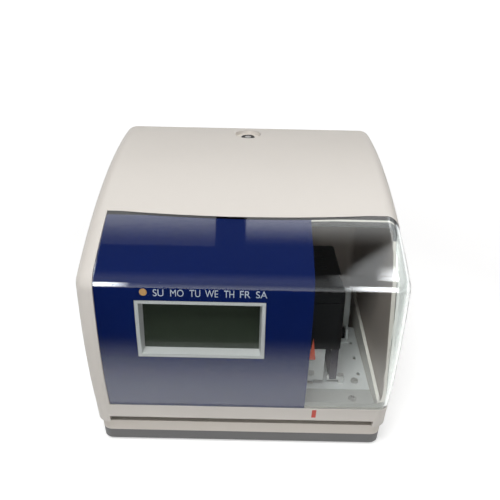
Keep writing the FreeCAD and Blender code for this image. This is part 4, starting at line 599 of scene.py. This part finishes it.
# Painted shade: outside this radius the plug's face is near-black, for the dark groove round the plug.
plug_low, plug_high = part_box("lock_plug")
from_axis = axis_distance(lock_face, (plug_low + plug_high) / 2 / MM, (1, 1, 0))
recolour(lock_face, combine(lock_face, "GREATER_THAN", from_axis, RIM_SHADE_RADIUS * MM), NEAR_BLACK)
print("materials:", len(bpy.data.materials))

# %% [markdown]
# ## The window and what is printed behind it
# The front is one bent sheet of clear acrylic. On the left a panel printed solid blue lies behind
# it, so the gloss comes from the sheet and the colour from the print. Real refraction gives the
# bright edges and the greenish tint of the cut sheet. Light Path lets the lamps shine straight
# through it, because a ray tracer would otherwise leave everything behind the sheet dark.

# %% Window and printed panel
acrylic, tree, links, sheet = new_material("clear_acrylic")
set_inputs(sheet, {"Base Color": (0.93, 0.965, 0.945, 1), "Roughness": 0.015, "IOR": 1.58,
                   "Transmission Weight": 1.0})
scuffs = place_group(acrylic, grain, Size=1.1 * MM, Unevenness=1.0)
scuff_relief = tree.new("ShaderNodeBump")
scuff_relief.inputs["Distance"].default_value = 0.0025 * MM
links.new(scuffs.outputs["Height"], scuff_relief.inputs["Height"])
links.new(scuff_relief.outputs["Normal"], sheet.inputs["Normal"])
clear = tree.new("ShaderNodeBsdfTransparent")
clear.inputs["Color"].default_value = (0.96, 0.97, 0.965, 1)
ray = tree.new("ShaderNodeLightPath")
pass_light = add_math(tree, links, "MAXIMUM", ray.outputs["Is Shadow Ray"], ray.outputs["Is Diffuse Ray"])
choice = tree.new("ShaderNodeMixShader")
links.new(pass_light, choice.inputs["Fac"])
links.new(sheet.outputs["BSDF"], choice.inputs[1])
links.new(clear.outputs["BSDF"], choice.inputs[2])
links.new(choice.outputs["Shader"], tree["Material Output"].inputs["Surface"])
dress(acrylic, "front_window")

dress(finish("printed_blue", (0.0028, 0.013, 0.105), 0.60, 0.3, 0.001, 0.10, worn=(0.01, 0.03, 0.18),
             worn_amount=0.2, specular=0.05),
      "blue_panel")
dress(finish("frame_grey", (0.66, 0.66, 0.67), 0.5, 0.3, 0.006, 0.03), "lcd_frame")
dress(finish("red_mark", (0.62, 0.075, 0.050), 0.5, 0.3, 0.004, 0.05), "red_mark")
dress(finish("orange_lens", (0.72, 0.40, 0.16), 0.22, 0.4, 0.003, 0.10), "amber_lens")
dress(finish("orange_pointer", (0.95, 0.15, 0.08), 0.42, 0.4, 0.006, 0.06), "print_pointer")
print("materials:", len(bpy.data.materials))

# %% [markdown]
# ## Display glass
# A switched-off liquid crystal display is a glossy olive-grey plate. Its unlit dots are a shade
# darker than the plate, which is a Brick Texture with square bricks at the size of the dots.

# %% Display glass
DOT_PITCH, DOT_GAP = 0.62, 0.05
glass_plate = finish("display_glass", (0.026, 0.034, 0.024), 0.16, 0.6, 0.001, 0.12)
tree, links = glass_plate.node_tree.nodes, glass_plate.node_tree.links
upright = tree.new("ShaderNodeVectorRotate")
upright.rotation_type = "X_AXIS"
upright.inputs["Angle"].default_value = math.radians(-90)
links.new(object_place(tree), upright.inputs["Vector"])
dots = tree.new("ShaderNodeTexBrick")
dots.offset = 0.0
set_inputs(dots, {"Scale": 1.0, "Brick Width": DOT_PITCH * MM, "Row Height": DOT_PITCH * MM,
                  "Mortar Size": DOT_GAP * MM, "Color1": (0.036, 0.047, 0.032, 1),
                  "Color2": (0.033, 0.043, 0.030, 1), "Mortar": (0.045, 0.056, 0.041, 1)})
links.new(upright.outputs["Vector"], dots.inputs["Vector"])
links.new(dots.outputs["Color"], tree["Principled BSDF"].inputs["Base Color"])
dress(glass_plate, "lcd_panel")
glass_low, glass_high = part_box("lcd_panel")
print("dots along the display:", round((glass_high.x - glass_low.x) / MM / DOT_PITCH))

# %% [markdown]
# ## Circuit boards
# A board is green solder mask over copper. The tracks are the joints of a Brick Texture, which run
# along two directions only, as real tracks do. A noise leaves some of them out, and the pads are
# small round dots on a 2.54 mm grid.

# %% Circuit boards
GRID = 2.54
TRACK_HALF, PAD_RADIUS = 0.19, 0.34
ONE_HUNDRED_CELLS = 100 * GRID
board = finish("board_green", (0.012, 0.125, 0.050), 0.34, 0.5, 0.003, 0.12, worn=(0.35, 0.36, 0.20),
               worn_amount=0.4)
tree, links = board.node_tree.nodes, board.node_tree.links
spot = object_place(tree)
runs = []
for seed, width, row in ((0.0, 6.5, 1.27), (0.4, 1.1, 8.0)):
    tracks = tree.new("ShaderNodeTexBrick")
    tracks.offset_frequency = 3
    set_inputs(tracks, {"Scale": 1.0, "Brick Width": width * MM, "Row Height": row * MM,
                        "Mortar Size": TRACK_HALF * MM})
    links.new(spot, tracks.inputs["Vector"])
    used = add_noise(tree, links, spot, 110.0)
    used.noise_dimensions = "4D"
    used.inputs["W"].default_value = seed
    kept = add_math(tree, links, "GREATER_THAN", used.outputs["Fac"], 0.50)
    runs.append(add_math(tree, links, "MULTIPLY", kept, tracks.outputs["Fac"]))
recolour(board, combine(board, "MAXIMUM", *runs), (0.07, 0.34, 0.14))
shifted = add_vector_math(tree, links, "ADD", spot, Vector((1, 1, 1)) * ONE_HUNDRED_CELLS * MM)
in_cell = add_vector_math(tree, links, "MODULO", shifted, Vector((1, 1, 1)) * GRID * MM)
flat = add_vector_math(tree, links, "MULTIPLY", in_cell, (1, 1, 0))
from_centre = add_vector_math(tree, links, "DISTANCE", flat, Vector((1, 1, 0)) * GRID / 2 * MM)
pad = add_math(tree, links, "LESS_THAN", from_centre, PAD_RADIUS * MM)
some = add_noise(tree, links, spot, 90.0)
pad = combine(board, "MULTIPLY", pad, add_math(tree, links, "GREATER_THAN", some.outputs["Fac"], 0.52))
recolour(board, pad, (0.62, 0.61, 0.56))
dress(board, "main_board", "display_board")
print("board nodes:", len(tree))


# %% [markdown]
# ## Parts on the board, and the cells
# One node holds several small parts of different stuff, so their colours come from masks in
# Object coordinates: a round mask for the capacitor's sleeve, boxes for crystal and connector.

# %% Capacitor, crystal, connector, chips
CAN_AXIS, CAN_RADIUS, TOP_RADIUS = (-10, 11, 0), 7.2, 6.0
BARE_TIN = (0.62, 0.62, 0.60)
parts_finish = finish("board_parts", (0.020, 0.020, 0.021), 0.38, 0.4, 0.006, 0.10)
from_can = axis_distance(parts_finish, CAN_AXIS, (1, 1, 0))
in_can = combine(parts_finish, "LESS_THAN", from_can, CAN_RADIUS * MM)
recolour(parts_finish, in_can, (0.020, 0.035, 0.12))
stripe = combine(parts_finish, "MULTIPLY", in_can, within(parts_finish, Y=(None, 5.4)))
recolour(parts_finish, stripe, (0.55, 0.57, 0.60))
recolour(parts_finish, within(parts_finish, X=(None, -55.5)), (0.72, 0.70, 0.62))
can_top = combine(parts_finish, "MULTIPLY", combine(parts_finish, "LESS_THAN", from_can, TOP_RADIUS * MM),
                  within(parts_finish, Z=(63, None)))
crystal = within(parts_finish, X=(-28.8, -18.2))
recolour(parts_finish, combine(parts_finish, "MAXIMUM", crystal, can_top), BARE_TIN, metal=True)
dress(parts_finish, "board_parts")

cells_finish = finish("cell_sleeve", (0.010, 0.110, 0.075), 0.30, 0.6, 0.003, 0.05)
cell_ends = combine(cells_finish, "MAXIMUM", within(cells_finish, X=(15.6, None)),
                    within(cells_finish, X=(None, -31.6)))
recolour(cells_finish, cell_ends, BARE_TIN, metal=True)
dress(cells_finish, "backup_battery")
print("materials:", len(bpy.data.materials))


# %% [markdown]
# ## Cross-head screws
# Every screw is a pan head with a cross recess. The head is a cylinder with its rim bevelled, and
# the recess is cut with a Boolean modifier. Heads come in two sizes and shanks in four lengths.
# Each kind is modelled once, copied to all its places and joined, and the joined piece stands for
# the plain CAD screws.

# %% Helpers for modelling
def only(piece):
    bpy.ops.object.select_all(action="DESELECT")
    piece.select_set(True)
    bpy.context.view_layer.objects.active = piece


def pick_edges(test):
    """In edit mode, selects the edges whose two ends pass the test."""
    bpy.ops.mesh.select_mode(type="EDGE")
    bpy.ops.mesh.select_all(action="DESELECT")
    bpy.ops.object.mode_set(mode="OBJECT")
    mesh = bpy.context.active_object.data
    for e in mesh.edges:
        a, b = (mesh.vertices[i].co for i in e.vertices)
        e.select = test(a, b)
    bpy.ops.object.mode_set(mode="EDIT")


def placed_copy(pattern, place):
    """A copy of a piece whose points are moved by a matrix."""
    copy = pattern.copy()
    copy.data = pattern.data.copy()
    scene.collection.objects.link(copy)
    copy.data.transform(place)
    return copy


def join(pieces, name, paint):
    """Joins pieces into one with a single material."""
    only(pieces[0])
    for piece in pieces:
        piece.select_set(True)
    bpy.ops.object.join()
    joined = bpy.context.active_object
    joined.name = name
    joined.data.materials.clear()
    joined.data.materials.append(paint)
    print(name, len(joined.data.polygons), "faces")
    return joined


def at(x, y, z, turn=None):
    place = Matrix.Translation(Vector((x, y, z)) * MM)
    return place @ turn.to_4x4() if turn else place


# %% Model one screw
NEAR = 1e-6
RIM_ROUND, RECESS_REACH, RECESS_WIDTH, RECESS_DEPTH, TIP_ROUND = 0.55, 1.15, 0.30, 0.62, 0.4
SMALL_HEAD, LARGE_HEAD = (2.1, 1.4), (3.0, 1.8)
SMALL_SHANK, LARGE_SHANK = 1.1, 1.5


def cross_screw(name, head, shank_radius, shank_length):
    """A pan head on the plane z 0 with its shank below, in mm, at the origin."""
    radius, height = head
    bpy.ops.object.select_all(action="DESELECT")
    bpy.ops.mesh.primitive_cylinder_add(vertices=32, radius=radius * MM, depth=height * MM,
                                        location=(0, 0, height / 2 * MM))
    screw = bpy.context.active_object
    screw.name = name
    put_down()
    bpy.ops.object.mode_set(mode="EDIT")
    top = height * MM
    pick_edges(lambda a, b: min(a.z, b.z) > top - NEAR)
    bpy.ops.mesh.bevel(offset=height * RIM_ROUND * MM, segments=4, profile=0.5, affect="EDGES")
    bpy.ops.object.mode_set(mode="OBJECT")
    bpy.ops.mesh.primitive_cube_add(size=MM, location=(0, 0, top))
    cutter = bpy.context.active_object
    cutter.scale = (radius * RECESS_REACH, radius * RECESS_WIDTH, height * RECESS_DEPTH * 2)
    put_down()
    for angle in (0, 90):
        cutter.rotation_euler = (0, 0, math.radians(angle))
        only(screw)
        cut = screw.modifiers.new("recess", "BOOLEAN")
        cut.operation = "DIFFERENCE"
        cut.solver = "EXACT"
        cut.object = cutter
        bpy.ops.object.modifier_apply(modifier="recess")
    bpy.data.objects.remove(cutter, do_unlink=True)
    bpy.ops.object.select_all(action="DESELECT")
    bpy.ops.mesh.primitive_cylinder_add(vertices=20, radius=shank_radius * MM, depth=shank_length * MM,
                                        location=(0, 0, -shank_length / 2 * MM))
    shank = bpy.context.active_object
    put_down()
    bpy.ops.object.mode_set(mode="EDIT")
    pick_edges(lambda a, b: max(a.z, b.z) < -shank_length * MM + NEAR)
    bpy.ops.mesh.bevel(offset=shank_radius * TIP_ROUND * MM, segments=1, affect="EDGES")
    bpy.ops.object.mode_set(mode="OBJECT")
    only(screw)
    shank.select_set(True)
    bpy.ops.object.join()
    bpy.ops.object.shade_smooth_by_angle(angle=math.radians(32))
    return screw


plated = finish("plated_steel", (0.40, 0.39, 0.375), 0.30, 0.3, 0.003, 0.06, worn=(0.62, 0.61, 0.59),
                worn_amount=0.6, metal=0.6)
deck_screw = cross_screw("deck_screw", SMALL_HEAD, SMALL_SHANK, 1.0)
guide_screw = cross_screw("guide_screw", SMALL_HEAD, SMALL_SHANK, 2.9)
display_screw = cross_screw("display_screw", SMALL_HEAD, SMALL_SHANK, 5.4)
case_screw = cross_screw("case_screw", LARGE_HEAD, LARGE_SHANK, 8.7)
print("screw patterns:", deck_screw.name, guide_screw.name, display_screw.name, case_screw.name)

# %% Place the screws
DECK_TOP, GUIDE_SEAT, BOARD_TOP, TRAY_SEAT = 22.2, 24.2, 41.6, 3.3
TURN_STEP = 37
to_rear = Euler((math.radians(-90), 0, 0)).to_matrix()
upside_down = Euler((math.radians(180), 0, 0)).to_matrix()
display_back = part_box("display_board")[1].y / MM


def spread_screws(name, pattern, places, body, stands_for):
    """Copies of one screw at their places, joined into one piece that rides on a body."""
    copies = [placed_copy(pattern, place @ Matrix.Rotation(math.radians(TURN_STEP * k), 4, "Z"))
              for k, place in enumerate(places)]
    piece = join(copies, name, plated)
    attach(piece, body)
    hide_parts(stands_for)


spread_screws("deck_screw_set", deck_screw,
              [at(x, y, DECK_TOP) for x in (-62.2, 62.2) for y in (-28.8, 20.0)], "root", "deck_screws")
spread_screws("guide_screw_set", guide_screw,
              [at(x, -45.9, GUIDE_SEAT) for x in (-58.4, 58.4)], "root", "guide_screws")
spread_screws("board_screw_set", guide_screw,
              [at(x, y, BOARD_TOP) for x in (-57.0, 3.0) for y in (-31.0, 16.0)], "root", "board_screws")
spread_screws("display_screw_set", display_screw,
              [at(x, display_back, z, to_rear) for x in (-52.8, 14.5) for z in (61.4, 98.5)],
              "cover", "display_screws")
spread_screws("case_screw_set", case_screw,
              [at(x, y, TRAY_SEAT, upside_down) for x in (-62.0, 62.0) for y in (-22.0, 28.0)],
              "root", "case_screws")
for pattern in (deck_screw, guide_screw, display_screw, case_screw):
    bpy.data.objects.remove(pattern, do_unlink=True)

# %% [markdown]
# ## Ink ribbon
# The ribbon is a band of woven nylon, 3.9 mm wide, that comes down from the cartridge, goes round
# two pins and crosses the slot. It is one edge, extruded along the straight runs and spun round
# the pins, with a Solidify modifier for its thickness. It is too narrow to be cut cloth with a
# drape of its own, because the pins keep it taut.

# %% Model the ribbon
RIBBON_X, RIBBON_WIDTH, RIBBON_THICKNESS, BEND = 49.6, 3.9, 0.16, 1.85
PIN_Z, PIN_FRONT, PIN_REAR, RIBBON_TOP = 24.95, -29.0, 21.5, 47.8


def run_on(x, y, z):
    """Extrudes the selected edge in a straight line, in mm."""
    bpy.ops.mesh.extrude_edges_move(TRANSFORM_OT_translate={"value": Vector((x, y, z)) * MM})


def bend_round(y):
    """Spins the selected edge a quarter turn round a pin."""
    centre = Vector((RIBBON_X, y, PIN_Z)) * MM
    bpy.ops.mesh.spin(steps=8, angle=math.radians(90), center=centre, axis=(1, 0, 0))


bpy.ops.object.select_all(action="DESELECT")
bpy.ops.mesh.primitive_plane_add(size=RIBBON_WIDTH * MM,
                                 location=Vector((RIBBON_X, PIN_FRONT - BEND, RIBBON_TOP)) * MM)
ribbon = bpy.context.active_object
ribbon.name = "woven_ribbon"
put_down()
bpy.ops.object.mode_set(mode="EDIT")
pick_edges(lambda a, b: min(a.y, b.y) > (PIN_FRONT - BEND) * MM + NEAR)
bpy.ops.mesh.select_mode(type="VERT")
bpy.ops.mesh.delete(type="VERT")
bpy.ops.mesh.select_all(action="SELECT")
bpy.ops.transform.translate(value=(0, RIBBON_WIDTH / 2 * MM, 0))
run_on(0, 0, PIN_Z - RIBBON_TOP)
bend_round(PIN_FRONT)
run_on(0, PIN_REAR - PIN_FRONT, 0)
bend_round(PIN_REAR)
run_on(0, 0, RIBBON_TOP - PIN_Z)
bpy.ops.mesh.select_all(action="SELECT")
bpy.ops.mesh.remove_doubles(threshold=0.00001)
bpy.ops.mesh.normals_make_consistent(inside=False)
bpy.ops.object.mode_set(mode="OBJECT")
thick = ribbon.modifiers.new("thickness", "SOLIDIFY")
thick.thickness = RIBBON_THICKNESS * MM
thick.offset = 0
only(ribbon)
bpy.ops.object.modifier_apply(modifier="thickness")
bpy.ops.object.shade_smooth_by_angle(angle=math.radians(40))
print("ribbon (mm):", [round(v / MM, 2) for v in ribbon.dimensions], len(ribbon.data.polygons), "faces")

# %% Weave
THREADS = 9000.0
weave, tree, links, start, end = new_group(
    "plain_weave", [("Threads", "NodeSocketFloat", THREADS)], [("Height", "NodeSocketFloat")])
axes = xyz_of(tree, links, object_place(tree))
along = add_math(tree, links, "ADD", axes["Y"], axes["Z"])
waves = [add_math(tree, links, "SINE", add_math(tree, links, "MULTIPLY", way, start.outputs["Threads"]))
         for way in (axes["X"], along)]
links.new(add_math(tree, links, "MULTIPLY", *waves), end.inputs["Height"])

inked = finish("inked_nylon", (0.030, 0.022, 0.045), 0.72, 0.4, 0.01, 0.15)
tree, links = inked.node_tree.nodes, inked.node_tree.links
threads = place_group(inked, weave, Threads=THREADS)
thread_relief = tree.new("ShaderNodeBump")
thread_relief.inputs["Distance"].default_value = 0.03 * MM
links.new(threads.outputs["Height"], thread_relief.inputs["Height"])
links.new(thread_relief.outputs["Normal"], tree["Principled BSDF"].inputs["Normal"])
ribbon.data.materials.append(inked)
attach(ribbon, "root")
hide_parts("ink_ribbon")
print("ribbon material:", inked.name)

# %% [markdown]
# ## Chip legs
# A chip stands on two rows of bent metal legs. One leg is a small bar, extruded out, down and out
# again, and its copies are set in rows 2.54 mm apart.

# %% Model the legs
LEG_WIDTH, LEG_THICKNESS, LEG_LEVEL = 0.5, 0.22, 43.05
LEG_STEPS = ((0, -0.55, 0), (0, -0.25, -0.35), (0, 0, -1.0), (0, -0.45, 0))
LEGS_A_SIDE, CHIP_X = 9, -42.0
CHIP_SIDES = ((-8.0, 2.0), (-22.0, -12.0))
bpy.ops.object.select_all(action="DESELECT")
bpy.ops.mesh.primitive_plane_add(size=MM, rotation=(math.radians(90), 0, 0))
leg = bpy.context.active_object
leg.scale = (LEG_WIDTH, LEG_THICKNESS, 1)
put_down()
bpy.ops.object.mode_set(mode="EDIT")
bpy.ops.mesh.select_all(action="SELECT")
for step in LEG_STEPS:
    bpy.ops.mesh.extrude_region_move(TRANSFORM_OT_translate={"value": Vector(step) * MM})
bpy.ops.mesh.select_all(action="SELECT")
bpy.ops.mesh.normals_make_consistent(inside=False)
bpy.ops.object.mode_set(mode="OBJECT")
legs = []
for front, rear in CHIP_SIDES:
    for i in range(LEGS_A_SIDE):
        x = CHIP_X + GRID * (i - LEGS_A_SIDE // 2)
        for y, turn in ((front, 0), (rear, 180)):
            legs.append(placed_copy(leg, at(x, y, LEG_LEVEL) @ Matrix.Rotation(math.radians(turn), 4, "Z")))
bpy.data.objects.remove(leg, do_unlink=True)
chip_legs = join(legs, "chip_legs", plated)
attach(chip_legs, "root")

# %% [markdown]
# ## The row of weekdays
# Seven pairs of letters are printed above the display in a pale blue-white. They are text objects
# turned to face the front and made meshes. Each point is then carried along Y onto the printed
# panel, two hundredths of a millimetre in front of it, so that the row follows the bent sheet.

# %% Print the weekdays
WORDS = (("SU", -37.5, 4.7), ("MO", -29.2, 5.9), ("TU", -21.3, 4.8), ("WE", -13.9, 5.7),
         ("TH", -6.2, 4.5), ("FR", 0.9, 4.6), ("SA", 8.2, 5.0))
TYPE_SIZE, LETTER_HEIGHT, ROW_LEVEL, INK_IN_FRONT = 4.9, 3.35, 99.7, 0.018
IN_FRONT_OF_ALL = -0.2
panel_mesh = nodes["blue_panel"].data
panel_points = [v.co for v in panel_mesh.vertices]
panel_tree = BVHTree.FromPolygons(panel_points, [p.vertices for p in panel_mesh.polygons])
letters = []
for day, middle_x, width in WORDS:
    bpy.ops.object.select_all(action="DESELECT")
    bpy.ops.object.text_add(rotation=(math.radians(90), 0, 0))
    word = bpy.context.active_object
    word.data.body = day
    word.data.size = TYPE_SIZE * MM
    word.data.resolution_u = 6
    bpy.ops.object.convert(target="MESH")
    put_down()
    bpy.ops.object.mode_set(mode="EDIT")
    bpy.ops.mesh.select_all(action="SELECT")
    bpy.ops.mesh.quads_convert_to_tris()
    bpy.ops.mesh.subdivide(number_cuts=2)
    bpy.ops.object.mode_set(mode="OBJECT")
    xs = [v.co.x for v in word.data.vertices]
    zs = [v.co.z for v in word.data.vertices]
    middle = (max(xs) + min(xs)) / 2, (max(zs) + min(zs)) / 2
    for v in word.data.vertices:
        x = (v.co.x - middle[0]) * width * MM / (max(xs) - min(xs)) + middle_x * MM
        z = (v.co.z - middle[1]) * LETTER_HEIGHT * MM / (max(zs) - min(zs)) + ROW_LEVEL * MM
        hit = panel_tree.ray_cast(Vector((x, IN_FRONT_OF_ALL, z)), Vector((0, 1, 0)))[0]
        v.co = (x, hit.y - INK_IN_FRONT * MM, z)
    letters.append(word)
letter_ink = finish("letter_ink", (0.62, 0.68, 0.78), 0.5, 0.2, 0.001, 0.04)
weekdays = join(letters, "weekday_row", letter_ink)
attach(weekdays, "cover")

# %% Settings
scene.view_settings.view_transform = "Standard"
